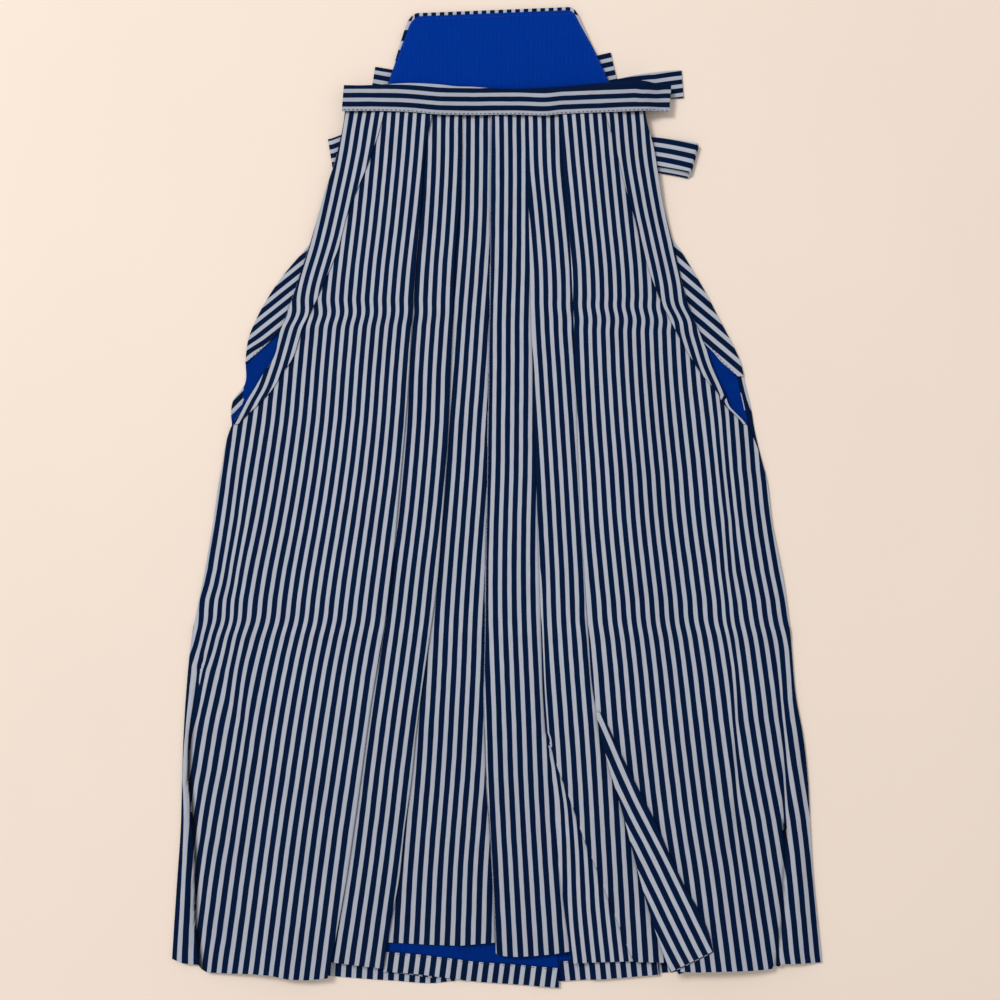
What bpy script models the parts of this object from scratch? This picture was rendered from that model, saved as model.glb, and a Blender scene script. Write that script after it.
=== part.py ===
"""Hakama trousers lying flat on their back, front side up and waist towards +Y.

Every piece of cloth is a thin wall. A leg panel is worked out section by section: each section
is one line across the cloth, with its pleats as layers that turn over each other, and the wall is
built to both sides of that line. The tables are in millimetres: x to the wearer's left, y up the
garment from its middle, z up from the floor. The mesh is in metres.
"""
import bpy
import bmesh
import numpy as np

MM = 0.001

# Driving sizes, in millimetres.
CENTRING = (0.7, -0.5, 0.0)     # from the middle of the tables to the middle of the outline
CLOTH = 1.0             # wall thickness of one layer of cloth
GAP = 0.3               # air between two layers that lie on each other
PITCH = CLOTH + GAP     # height from one layer to the next
STRAP_WIDTH = 28.0
STRAP_THICK = 1.6       # a strap is a flattened tube of cloth
PLATE_THICK = 2.5       # the stiff board of the back plate
PLATE_RIM = 3.0         # width of outer cloth that shows round the plate's lining
HEM_TURN = 20.0         # height of the hem's turned-up edge
FRONT_TOP = 402.0       # top edge of the front panels, under the waistband
BACK_TOP = 395.0        # top edge of the back panels, under the back plate
FAN_TOP = -191.0        # where the right inner pleat starts to show
FAN_FULL = -236.0       # where it lies full height under the right pleat

# Sections of the front, from the waist to the hem: the two sides and the edge of each pleat.
SECTION_COLUMNS = ("y", "left_side", "edge_1", "edge_2", "edge_3", "edge_4", "edge_5", "right_side")
SECTIONS = (
    (407, -152.0, -67.0, -36.0, -5.0, 30.0, 61.0, 147.5),
    (387, -152.0, -67.5, -36.0, -5.5, 31.0, 63.0, 148.0),
    (349, -159.0, -69.0, -35.5, -6.0, 31.5, 66.5, 157.0),
    (299, -174.5, -71.5, -37.0, -6.5, 32.0, 72.0, 165.5),
    (249, -189.5, -79.0, -42.0, -6.5, 33.0, 74.0, 178.0),
    (199, -206.0, -84.0, -44.0, -7.0, 34.0, 76.0, 190.5),
    (149, -224.5, -87.0, -46.0, -8.0, 35.5, 78.0, 210.0),
    (99, -250.0, -90.0, -48.0, -8.5, 37.0, 79.5, 231.0),
    (74, -265.5, -92.0, -49.0, -9.0, 38.0, 80.5, 250.0),
    (29, -276.5, -96.0, -51.5, -9.5, 39.5, 82.0, 268.0),
    (-26, -285.0, -101.0, -55.5, -10.5, 41.0, 84.5, 276.0),
    (-81, -294.5, -105.5, -60.0, -11.5, 43.0, 88.0, 287.0),
    (-136, -305.5, -114.0, -67.5, -12.0, 44.5, 91.5, 294.0),
    (-201, -312.0, -125.5, -77.0, -13.0, 46.5, 97.5, 300.0),
    (-236, -314.0, -130.5, -81.5, -12.0, 49.0, 106.0, 306.5),
    (-281, -315.5, -136.5, -86.0, -10.5, 52.0, 124.0, 311.5),
    (-331, -317.0, -143.5, -93.0, -7.0, 57.0, 143.0, 314.0),
    (-381, -320.5, -151.0, -98.5, -4.0, 62.5, 161.0, 317.0),
    (-426, -323.5, -159.0, -106.0, -2.0, 66.5, 178.0, 321.5),
    (-466, -326.0, -167.0, -111.0, -1.0, 71.0, 192.0, 324.5),
)

# Lines that are given by their own short tables, from the waist down.
RIGHT_PLEAT_COLUMNS = ("y", "edge_x")           # left edge of the right pleat, where it opens
RIGHT_PLEAT = ((-236, 49.0), (-256, 54.6), (-281, 62.0), (-331, 81.0), (-381, 97.0),
               (-426, 114.0), (-466, 137.0))
FLAP_COLUMNS = ("y", "left_x", "right_x")       # the pleat that has sprung out on the right
FLAP = ((-222, 100.5, 108.0), (-249, 107.0, 120.5), (-271, 113.0, 131.5), (-294, 120.0, 143.0),
        (-322, 128.0, 157.5), (-351, 135.5, 170.0), (-381, 143.5, 184.0), (-409, 151.0, 199.0),
        (-441, 159.5, 214.5), (-466, 168.0, 221.0))
SIDE_FOLD_COLUMNS = ("y", "left_width", "right_width")      # front folds beside the openings
SIDE_FOLD = ((407, 40.0, 41.0), (387, 39.0, 40.0), (334, 34.0, 37.0), (279, 28.5, 32.0),
             (249, 30.0, 33.0), (199, 25.0, 27.0), (149, 19.0, 20.5), (117, 15.0, 12.0),
             (99, 12.0, 7.5), (78, 3.0, 3.0))
BACK_SIDE_COLUMNS = ("y", "left_x", "right_x")  # outer edge of the back panels
BACK_SIDE = ((395, -118.0, 108.0), (360, -125.0, 115.0), (320, -140.0, 128.0),
             (290, -160.0, 148.0), (256, -187.0, 179.0), (227, -212.0, 197.5),
             (209, -225.0, 208.0), (182, -240.5, 222.0), (161, -249.0, 233.0),
             (140, -252.0, 243.0), (113, -254.0, 249.5), (99, -263.0, 253.0),
             (74, -267.0, 257.5), (29, -276.5, 268.0))
BACK_FOLD_COLUMNS = ("y", "width")              # turned-over edge of the back at the openings
BACK_FOLD = ((395, 24.0), (290, 34.0), (256, 38.0), (199, 36.0), (171, 27.0), (154, 13.0),
             (140, 3.0))
BACK_INNER_COLUMNS = ("y", "left_x", "right_x") # inner edges of the back panels, which overlap
BACK_INNER = ((395, 10.0, -10.0), (0, 34.0, 14.0), (-300, 54.0, 34.0), (-490, 62.0, 42.0))
BACK_PLEAT_COLUMNS = ("y", "left_edge", "left_depth", "right_edge", "right_depth")
BACK_PLEAT = ((395, -22.0, 14.0, 44.0, 14.0), (0, -30.0, 34.0, 74.0, 34.0),
              (-490, -43.0, 71.0, 104.0, 60.0))
WAISTBAND_COLUMNS = ("x", "bottom_y", "top_y")
WAISTBAND = ((-153.5, 387.0, 414.0), (-116.0, 387.5, 414.5), (-57.0, 385.0, 413.7),
             (3.0, 383.4, 410.5), (53.0, 385.0, 411.5), (103.0, 387.5, 415.0),
             (148.0, 389.0, 416.0), (173.0, 388.0, 417.0))
LOOPS = {   # root and tip in x, top edge in y; how far it falls, leans, slips and rises to its tip
    "right": {"root": 143.0, "tip": 201.5, "top": 363.0, "fall": -7.0, "lean": -8.0, "slip": -6.0,
              "rise": 2.0},
    "left": {"root": -141.0, "tip": -169.5, "top": 364.0, "fall": -2.5, "lean": 4.5, "slip": -1.0,
             "rise": 0.4},
}
PLATE_CORNERS = {"top_left": (-84.5, 485.0), "top_right": (77.5, 491.0),
                 "foot_right": (118.0, 397.0), "foot_left": (-114.0, 397.0)}

# Hem heights: x and y, from the left side to the right.
HEM_MAIN_LEFT = ((-326, -462), (-300, -465), (-287, -474), (-208, -478), (-167, -479))
HEM_BACK_LEFT = ((-326, -461), (-166, -478.5), (-119, -482), (-77, -486), (-43, -483))
HEM_BACK_CENTRE = ((-111, -473), (-57, -477), (-9, -484.6), (23, -487), (62, -490))
HEM_BACK_RIGHT = ((42, -485), (103, -481), (163, -474.5), (325, -462))
HEM_MAIN_RIGHT = ((192, -473), (274, -468), (283, -466), (326, -464))
HEM_STRIP = -465.0      # left middle pleat
HEM_PANEL = -444.0      # left inner pleat
HEM_CENTRE = -455.0
HEM_FAN = -465.0
HEM_RIGHT = -461.0

# Heights above the floor, in millimetres, of the middle of the lowest front layer.
BASE_WAIST = 7.8        # over the waistband's inner layer
BASE_LOOPS = 6.2        # over the strap loops
BASE_BODY = 4.5         # over the back's pleats
BASE_OPENING = 3.2      # at the openings, over the back's turned edge
BASE_SEAM = 1.9         # at the side seams
HEM_REACH = 120.0       # how far above a hem its sections bend towards it
SIDE_REACH = 45.0       # how far in from a side the cloth climbs to its full height
STORED_CREASES = ((190.0, 1.1), (-134.0, 1.3))      # height on the garment, height of the ridge
CREASE_HALF = 11.0
ROLL_START = -120.0     # where the soft rolls along the side seams begin, and where they are full
ROLL_FULL = -280.0
ROLL_HEIGHT = 2.0
VALLEY_DEPTH = 1.0
VALLEY_HALF = 9.0

COLOURS = {"striped cloth": (0.030, 0.045, 0.160), "blue reverse": (0.004, 0.050, 0.420)}


def column(table, columns, name, y):
    """A table's column at height y, by a smooth curve through its rows, straight past its ends."""
    rows = sorted(table, key=lambda row: row[0])
    keys = np.array([row[0] for row in rows], float)
    values = np.array([row[columns.index(name)] for row in rows], float)
    slopes = np.gradient(values, keys) if len(rows) > 2 else np.full(
        len(rows), (values[-1] - values[0]) / (keys[-1] - keys[0]))
    i = int(np.clip(np.searchsorted(keys, y) - 1, 0, len(keys) - 2))
    if y <= keys[0]:
        return values[0] + slopes[0] * (y - keys[0])
    if y >= keys[-1]:
        return values[-1] + slopes[-1] * (y - keys[-1])
    span = keys[i + 1] - keys[i]
    s = (y - keys[i]) / span
    return (values[i] * (1 + 2 * s) * (1 - s) ** 2 + slopes[i] * span * s * (1 - s) ** 2
            + values[i + 1] * s * s * (3 - 2 * s) + slopes[i + 1] * span * s * s * (s - 1))


def section(name, y):
    return column(SECTIONS, SECTION_COLUMNS, name, y)


def step(low, high, value):
    """0 at low, 1 at high and a soft slope between them, whichever of the two is larger."""
    s = min(max((value - low) / (high - low), 0.0), 1.0)
    return s * s * (3 - 2 * s)


def hem_at(table, x):
    return float(np.interp(x, [row[0] for row in table], [row[1] for row in table]))


def valley_left(y):
    """Where the cloth sinks between the left side seam's roll and the main panel."""
    return section("left_side", y) + 8 + 20 * step(-150, -260, y)


def valley_right(y):
    return section("right_side", y) - 12 - 20 * step(-150, -200, y) - 10 * step(-420, -470, y)


def base(x, y):
    """Height of the lowest front layer: high at the waist, low at the sides."""
    middle = BASE_BODY + (BASE_LOOPS - BASE_BODY) * step(262, 325, y)
    middle += (BASE_WAIST - BASE_LOOPS) * step(330, 378, y)
    edge = BASE_SEAM + (BASE_OPENING - BASE_SEAM) * step(30, 90, y)
    edge += (middle - edge) * step(262, 320, y)
    inward = min(x - section("left_side", y), section("right_side", y) - x)
    return edge + (middle - edge) * step(0, SIDE_REACH, inward)


def puff(x, y):
    """Air and storage creases: the same for every layer at one place, so that none cross."""
    waves = 0.9 + 0.5 * np.sin(x / 37.0 + y / 90.0) + 0.4 * np.sin(x / 17.0 - y / 140.0)
    inward = min(x - section("left_side", y), section("right_side", y) - x)
    height = waves * step(0, 25, inward) * (1 - step(300, 395, y))
    for crease_y, ridge in STORED_CREASES:
        sag = 26.0 * (x / 230.0) ** 2 if crease_y > 0 else 0.0
        height += ridge * (1 - step(0, CREASE_HALF, abs(y - crease_y + sag)))
    return height


def side_roll(x, y):
    """The soft roll of cloth along each side seam and the valley inside it."""
    height = 0.0
    strength = 1 - step(ROLL_FULL, ROLL_START, y)
    for side, valley in (("left_side", valley_left(y)), ("right_side", valley_right(y))):
        seam = section(side, y)
        half = abs(valley - seam) / 2
        height += ROLL_HEIGHT * strength * (1 - step(0, half, abs(x - (seam + valley) / 2)))
        height -= VALLEY_DEPTH * strength * (1 - step(0, VALLEY_HALF, abs(x - valley)))
    return height


def drop(x, near, far):
    """1 over a stack of pleats up to near, 0 past far."""
    return 1 - step(0, 1, (x - near) / (far - near))


def pleat_depth(y):
    """How far a front pleat goes back under its edge: little at the waist, more at the hem."""
    return 12 + 22 * step(390, -300, y)


def right_lift(y):
    """The layer that the inner pleat adds below the place where it opens."""
    return 1 - step(FAN_FULL, FAN_TOP, y)


def right_edge(y):
    """Left edge of the right pleat, on the inner pleat's edge until it swings away."""
    if y > RIGHT_PLEAT[0][0]:
        return section("edge_4", y)
    return column(RIGHT_PLEAT, RIGHT_PLEAT_COLUMNS, "edge_x", y)


def main_left_level(x, y):
    stack = section("edge_1", y) - pleat_depth(y)
    return 4 * drop(x, stack - 8, stack - 76)


def main_right_level(x, y):
    stack = section("edge_5", y) + pleat_depth(y)
    return (6 + right_lift(y)) * drop(x, stack + 8, stack + 88)


def front_height(x, y, level):
    return base(x, y) + level * PITCH + puff(x, y)


def main_left_height(x, y):
    return front_height(x, y, main_left_level(x, y)) + side_roll(x, y)


def main_right_height(x, y):
    return front_height(x, y, main_right_level(x, y)) + side_roll(x, y)


def level_height(level):
    return lambda x, y: front_height(x, y, level)


def layer(start, end, height, hem, shares):
    """One run of cloth across a section: where it starts and ends, its height, its hem and the
    shares of its width at which it has points."""
    return {"start": start, "end": end, "height": height, "hem": hem, "shares": shares}


def even(count):
    return [i / (count - 1) for i in range(count)]


def folded_rows(layers, heights):
    """Lines across the cloth, one for each height on it. The lowest lines bend to each layer's own
    hem. A layer ends half a pitch short of its edge, and a half circle turns the cloth onto the
    next layer."""
    radius = PITCH / 2
    rows = []
    for height in heights:
        bend = step(heights[-1] + HEM_REACH, heights[-1], height)
        line = []
        for number, run in enumerate(layers):
            points = []
            for share in run["shares"]:
                y = height + (run["hem"](share) - heights[-1]) * bend
                start, end = run["start"](y), run["end"](y)
                heading = np.sign(end - start)
                if number > 0:
                    start += heading * radius
                if number < len(layers) - 1:
                    end -= heading * radius
                x = start + (end - start) * share
                points.append((x, y, run["height"](x, y)))
            if number > 0:
                line += half_turn(line[-1], points[0], -heading, radius)
            line += points
        rows.append(line)
    return np.array(rows)


def half_turn(before, after, outward, radius):
    """Two points of the half circle that turns the cloth from one layer onto the next."""
    before, after = np.array(before), np.array(after)
    points = []
    for angle in (np.pi / 3, 2 * np.pi / 3):
        point = before + (after - before) * (1 - np.cos(angle)) / 2
        point[0] = (before[0] + after[0]) / 2 + outward * radius * np.sin(angle)
        points.append(tuple(point))
    return points


def wall(name, rows, thickness, material, across=(0, 1, 0)):
    """A closed wall of cloth to both sides of a grid of points. Each row lies in a plane square to
    across, and the wall's thickness is measured in that plane."""
    across = np.array(across, float)
    runs = np.diff(rows, axis=1)
    runs -= (runs @ across)[..., None] * across
    normals = np.cross(across, runs)
    normals /= np.linalg.norm(normals, axis=2)[..., None]
    first, last = normals[:, :1], normals[:, -1:]
    before, after = normals[:, :-1], normals[:, 1:]
    corners = (before + after) / (1 + np.sum(before * after, axis=2))[..., None]
    offsets = np.concatenate((first, corners, last), axis=1) * thickness / 2
    return solid(name, rows + offsets, rows - offsets, material)


def solid(name, upper, lower, material):
    """A closed body between two grids of points of the same size."""
    count, width = upper.shape[:2]
    points = (np.concatenate((upper.reshape(-1, 3), lower.reshape(-1, 3))) + CENTRING) * MM
    body = bmesh.new()
    corners = [body.verts.new(point) for point in points]
    under = count * width

    def face(*numbers):
        body.faces.new([corners[number] for number in numbers])

    for i in range(count - 1):
        for j in range(width - 1):
            a, d = i * width + j, (i + 1) * width + j
            b, c = a + 1, d + 1
            face(a, b, c, d)
            face(under + d, under + c, under + b, under + a)
    for i in range(count - 1):
        for a, b in ((i * width, (i + 1) * width), ((i + 2) * width - 1, (i + 1) * width - 1)):
            face(a, b, under + b, under + a)
    for j in range(width - 1):
        for a, b in ((j + 1, j), ((count - 1) * width + j, (count - 1) * width + j + 1)):
            face(a, b, under + b, under + a)
    bmesh.ops.recalc_face_normals(body, faces=body.faces)
    mesh = bpy.data.meshes.new(name)
    body.to_mesh(mesh)
    body.free()
    mesh.materials.append(material)
    mesh.shade_smooth()
    mesh.set_sharp_from_angle(angle=np.radians(40))
    piece = bpy.data.objects.new(name, mesh)
    bpy.context.scene.collection.objects.link(piece)
    return piece


def cloth_material(name):
    material = bpy.data.materials.new(name)
    material.use_nodes = True
    shader = material.node_tree.nodes["Principled BSDF"]
    shader.inputs["Base Color"].default_value = (*COLOURS[name], 1)
    shader.inputs["Roughness"].default_value = 0.75
    return material


FRONT_HEIGHTS = (FRONT_TOP, 384, 362, 335, 305, 268, 225, 200, 188, 176, 150, 115, 80, 45, -5, -60,
                 -108, -123, -134, -145, -170, -200, -236, -281, -331, -381, -426, -466)
BACK_HEIGHTS = (BACK_TOP, 350, 310, 270, 235, 205, 175, 140, 113, 95, 74, 29, -30, -90, -150, -215,
                -280, -345, -405, -450, -485)
MAIN_SHARES = [0, 0.045, 0.09, 0.135, 0.18, 0.24, 0.32, 0.43, 0.55, 0.68, 0.82, 1]


def front_left():
    """The left half of the front: the main panel and two pleats that step down to the inner
    panel, and the centre panel that turns back up over it."""
    def edge(name, back=0.0):
        return lambda y: section(name, y) - back * pleat_depth(y)

    def beyond_centre(y):
        return section("edge_3", y) + 0.8 * pleat_depth(y)

    def under_right(y):
        return section("edge_4", y) + 18

    layers = (
        layer(edge("left_side"), edge("edge_1"), main_left_height,
              lambda s: hem_at(HEM_MAIN_LEFT, -326 + 159 * s), MAIN_SHARES),
        layer(edge("edge_1"), edge("edge_1", 1), level_height(3),
              lambda s: -479 + (HEM_STRIP + 479) * s, even(2)),
        layer(edge("edge_1", 1), edge("edge_2"), level_height(2), lambda s: HEM_STRIP, even(4)),
        layer(edge("edge_2"), edge("edge_2", 1), level_height(1),
              lambda s: HEM_STRIP + (HEM_PANEL - HEM_STRIP) * s, even(2)),
        layer(edge("edge_2", 1), beyond_centre, level_height(0), lambda s: HEM_PANEL, even(6)),
        layer(beyond_centre, edge("edge_3"), level_height(1),
              lambda s: HEM_PANEL + (HEM_CENTRE - HEM_PANEL) * s, even(2)),
        layer(edge("edge_3"), under_right, level_height(2), lambda s: HEM_CENTRE, even(5)),
    )
    return folded_rows(layers, FRONT_HEIGHTS)


def front_right():
    """The right half of the front: the main panel and one wide pleat that lies over the centre."""
    def pleat_back(y):
        return section("edge_5", y) + pleat_depth(y)

    def under_pleat(y):
        return right_edge(y) + 0.9 * pleat_depth(y)

    def lifted(level):
        return lambda x, y: front_height(x, y, level + right_lift(y))

    layers = (
        layer(lambda y: section("right_side", y), lambda y: section("edge_5", y),
              main_right_height, lambda s: hem_at(HEM_MAIN_RIGHT, 326 - 134 * s), MAIN_SHARES),
        layer(lambda y: section("edge_5", y), pleat_back, lifted(5),
              lambda s: -473 + (HEM_RIGHT + 473) * s, even(2)),
        layer(pleat_back, right_edge, lifted(4), lambda s: HEM_RIGHT, even(6)),
        layer(right_edge, under_pleat, lifted(3), lambda s: HEM_RIGHT, even(2)),
    )
    return folded_rows(layers, FRONT_HEIGHTS)


def inner_pleat():
    """The right pleat's inner fold, which shows where the pleat swings away from the centre."""
    heights = (-237, *FRONT_HEIGHTS[-5:-1], HEM_FAN)
    rows = []
    for y in heights:
        start = section("edge_4", y) + 0.5
        end = right_edge(y) + 0.5 * pleat_depth(y)
        xs = [start + (end - start) * share for share in even(5)]
        rows.append([(x, y, front_height(x, y, 3)) for x in xs])
    return np.array(rows)


def sprung_pleat():
    """The pleat that has sprung out on the right: a flat loop of cloth, open underneath."""
    heights = (-222, -249, -271, -294, -322, -351, -381, -409, -441, -466)
    last = len(heights) - 1
    rows = []
    for number, y in enumerate(heights):
        left = column(FLAP, FLAP_COLUMNS, "left_x", y)
        right = column(FLAP, FLAP_COLUMNS, "right_x", y)
        foot = 17.0 * step(last - 3, last, number)

        def point(x, level):
            share = (x - left) / (right - left)
            fallen = y - 4 * foot / 17 + foot * share
            lift = main_right_height(max(x, section("edge_5", y) + 6), y) + (level - 7) * PITCH
            return (x, fallen, lift)

        radius = PITCH / 2
        middle = (left + right) / 2
        under_right = [point(middle + 0.6, 8), point(right - radius, 8)]
        over = [point(right - radius + (left + 2 * radius - right) * s, 9) for s in even(5)]
        under_left = [point(left + radius, 8), point(middle - 0.6, 8)]
        line = under_right + half_turn(under_right[-1], over[0], 1, radius)
        line += over + half_turn(over[-1], under_left[0], -1, radius) + under_left
        rows.append(line)
    return np.array(rows)


def side_fold(side):
    """The narrow fold of the front beside a side opening, flat on the main panel."""
    heights = (402, 384, 350, 310, 268, 230, 199, 175, 149, 117, 99, 80)
    seam = "left_side" if side == "left" else "right_side"
    inward = 1 if side == "left" else -1
    under = main_left_height if side == "left" else main_right_height
    rows = []
    for y in heights:
        start = section(seam, y) + 0.4 * inward
        width = column(SIDE_FOLD, SIDE_FOLD_COLUMNS, side + "_width", y)
        xs = [start + inward * width * share for share in even(6)]
        rows.append([(x, y, under(x, y) + PITCH) for x in xs])
    return np.array(rows)


def back_side(side, y):
    """Outer edge of a back panel, along the front's side seam below the opening."""
    if y < BACK_SIDE[-1][0]:
        return section(side + "_side", y)
    return column(BACK_SIDE, BACK_SIDE_COLUMNS, side + "_x", y)


def back_left():
    """The left half of the back, flat on the floor, with one deep pleat at its middle. Its inner
    edge lies over the right half's."""
    def pleat(name):
        return lambda y: column(BACK_PLEAT, BACK_PLEAT_COLUMNS, name, y)

    def depth_back(y):
        return pleat("left_edge")(y) - pleat("left_depth")(y)

    def inner(y):
        return column(BACK_INNER, BACK_INNER_COLUMNS, "left_x", y)

    def over_height(x, y):
        edge = pleat("left_edge")(y)
        lap = column(BACK_INNER, BACK_INNER_COLUMNS, "right_x", y)
        over = 2 * (1 - step(edge + 4, edge + 14, x)) + step(lap - 9, lap - 1, x)
        return CLOTH / 2 + over * PITCH

    layers = (
        layer(lambda y: back_side("left", y), pleat("left_edge"), lambda x, y: CLOTH / 2,
              lambda s: hem_at(HEM_BACK_LEFT, -326 + 283 * s), even(4)),
        layer(pleat("left_edge"), depth_back, lambda x, y: CLOTH / 2 + PITCH,
              lambda s: -483 + 10 * s, even(2)),
        layer(depth_back, inner, over_height,
              lambda s: hem_at(HEM_BACK_CENTRE, -101 + 163 * s),
              (0, 0.2, 0.36, 0.4, 0.45, 0.5, 0.62, 0.75, 0.8, 0.85, 0.9, 1)),
    )
    return folded_rows(layers, BACK_HEIGHTS)


def back_right():
    """The right half of the back, the same the other way round, under the left half's edge."""
    def pleat(name):
        return lambda y: column(BACK_PLEAT, BACK_PLEAT_COLUMNS, name, y)

    def depth_back(y):
        return pleat("right_edge")(y) + pleat("right_depth")(y)

    def inner(y):
        return column(BACK_INNER, BACK_INNER_COLUMNS, "right_x", y)

    def over_height(x, y):
        edge = pleat("right_edge")(y)
        return CLOTH / 2 + 2 * step(edge - 14, edge - 4, x) * PITCH

    layers = (
        layer(lambda y: back_side("right", y), pleat("right_edge"), lambda x, y: CLOTH / 2,
              lambda s: hem_at(HEM_BACK_RIGHT, 325 - 221 * s), even(4)),
        layer(pleat("right_edge"), depth_back, lambda x, y: CLOTH / 2 + PITCH,
              lambda s: -481 + 4.5 * s, even(2)),
        layer(depth_back, inner, over_height, lambda s: hem_at(HEM_BACK_RIGHT, 152 - 110 * s),
              (0, 0.2, 0.4, 0.5, 0.55, 0.6, 0.68, 0.8, 1)),
    )
    return folded_rows(layers, BACK_HEIGHTS)


def back_side_fold(side):
    """The back's turned-over edge, which shows its face at the side openings."""
    heights = (395, 350, 310, 275, 256, 227, 209, 190, 171, 154, 142)
    inward = 1 if side == "left" else -1
    rows = []
    for y in heights:
        start = back_side(side, y)
        width = column(BACK_FOLD, BACK_FOLD_COLUMNS, "width", y)
        rows.append([(start + inward * width * s, y, CLOTH / 2 + PITCH) for s in even(4)])
    return np.array(rows)


def back_hem(panel, columns):
    """The hem's turned-up edge, on the inside of a back panel. It is made from the points of some
    of the panel's columns, moved up by one layer."""
    foot, above = panel[-1, columns], panel[-2, columns]
    rows = []
    for rise in (0.4, HEM_TURN / 2, HEM_TURN):
        share = rise / (above[:, 1] - foot[:, 1])
        rows.append(foot + (above - foot) * share[:, None] + np.array((0, 0, PITCH)))
    return np.array(rows)


def waistband(fronts):
    """The front waistband: a strip folded over the pleats' top edges, closed along its top. Its
    outer layer lies on whatever is highest under it."""
    points = np.concatenate([rows[:2].reshape(-1, 3) for rows in fronts])
    xs = np.linspace(WAISTBAND[0][0], WAISTBAND[-1][0], 29)
    reach = 2 * (xs[1] - xs[0])
    inner_z = BASE_WAIST - PITCH
    low_end = inner_z + 1.2 * PITCH
    heights = []
    for x in xs:
        under = points[np.abs(points[:, 0] - x) < reach, 2]
        heights.append(under.max() + PITCH if len(under) else low_end)
    heights = np.array(heights)
    evened = np.convolve(np.pad(heights, 2, mode="edge"), np.ones(5) / 5, "valid")
    smooth = np.maximum(heights, evened)
    past_body = np.clip((xs - 150) / 14, 0, 1)
    smooth = smooth + (low_end + 1 - smooth) * past_body
    rows = []
    for x, z in zip(xs, smooth):
        bottom = np.interp(x, [row[0] for row in WAISTBAND], [row[1] for row in WAISTBAND])
        top = np.interp(x, [row[0] for row in WAISTBAND], [row[2] for row in WAISTBAND])
        shoulder = inner_z + (z - inner_z) * 0.72
        rows.append([(x, bottom, z), (x, top - 9, z), (x, top - 3.2, z - 0.6 - (z - shoulder) * 0.3),
                     (x, top - 1.0, shoulder), (x, top - 0.5, (shoulder + inner_z) / 2 + 0.3),
                     (x, top - 1.2, inner_z + 0.7), (x, top - 2.6, inner_z), (x, bottom + 5, inner_z)])
    return np.array(rows)


def plate_outline(inset):
    """Corners of the back plate, moved in by inset on the top and the two sides."""
    left = PLATE_CORNERS["top_left"], PLATE_CORNERS["foot_left"]
    right = PLATE_CORNERS["top_right"], PLATE_CORNERS["foot_right"]
    rows = []
    for share in even(5):
        ends = []
        for (top, foot), inward in ((left, 1), (right, -1)):
            down = inset / (top[1] - foot[1])
            s = down + (1 - down) * share
            ends.append((top[0] + (foot[0] - top[0]) * s + inward * inset * 1.05,
                         top[1] + (foot[1] - top[1]) * s))
        rows.append(ends)
    return rows


def plate_grid(inset, z, dome=0.0):
    rows = []
    for i, (left, right) in enumerate(plate_outline(inset)):
        line = []
        for share in even(7):
            x = left[0] + (right[0] - left[0]) * share
            y = left[1] + (right[1] - left[1]) * share
            crown = dome * np.sin(np.pi * share) * np.sin(np.pi * (i + 0.5) / 5)
            line.append((x, y, z + crown))
        rows.append(line)
    return np.array(rows)


def strap(name, start, end, z, material, width=STRAP_WIDTH, thick=STRAP_THICK):
    """A straight stretch of strap between the middles of its two ends, flat and solid."""
    start, end = np.array(start, float), np.array(end, float)
    along = (end - start) / np.linalg.norm(end - start)
    side = np.array((-along[1], along[0])) * width / 2
    profile = ((-1, 0.25), (-0.96, 0.5), (0, 0.5), (0.96, 0.5), (1, 0.25))
    upper, lower = [], []
    for share in even(6):
        middle = start + (end - start) * share
        upper.append([(*(middle + side * s), z + thick * h) for s, h in profile])
        lower.append([(*(middle + side * s), z - thick * h) for s, h in profile])
    return solid(name, np.array(upper), np.array(lower), material)


def strap_loop(side):
    """A strap that comes out from under the front and turns back under it: two layers joined by a
    round turn, the lower one slipped a little towards the hem."""
    outward = 1 if side == "right" else -1
    size = LOOPS[side]
    floor_z = STRAP_THICK / 2
    rows = []
    for share in even(5):
        tip = size["tip"] + size["lean"] * share
        root = size["root"]
        reach = abs(tip - root)
        line = []
        for s in (0, 0.35, 0.7, 1):
            x = root + (tip - outward * 2.4 - root) * s
            y = size["top"] + size["fall"] * s ** 1.6 - STRAP_WIDTH * share
            line.append((x, y, 3.6 + size["rise"] * s * s))
        radius = (line[-1][2] - floor_z) / 2
        middle = line[-1][2] - radius
        for angle in (45, 90, 135):
            turn = np.radians(angle)
            part = (1 - np.cos(turn)) / 2
            line.append((line[3][0] + outward * 2.4 * np.sin(turn),
                         line[3][1] + size["slip"] * 0.5 * part, middle + radius * np.cos(turn)))
        for s in (1, 0.7, 0.35, 0):
            x = root + (tip - outward * 2.4 - root) * s
            y = size["top"] + size["fall"] * s ** 1.6 - STRAP_WIDTH * share
            slip = size["slip"] * (0.5 + 0.5 * (1 - s) * min(1, reach / 40))
            line.append((x, y + slip, floor_z))
        rows.append(line)
    return np.array(rows)


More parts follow.
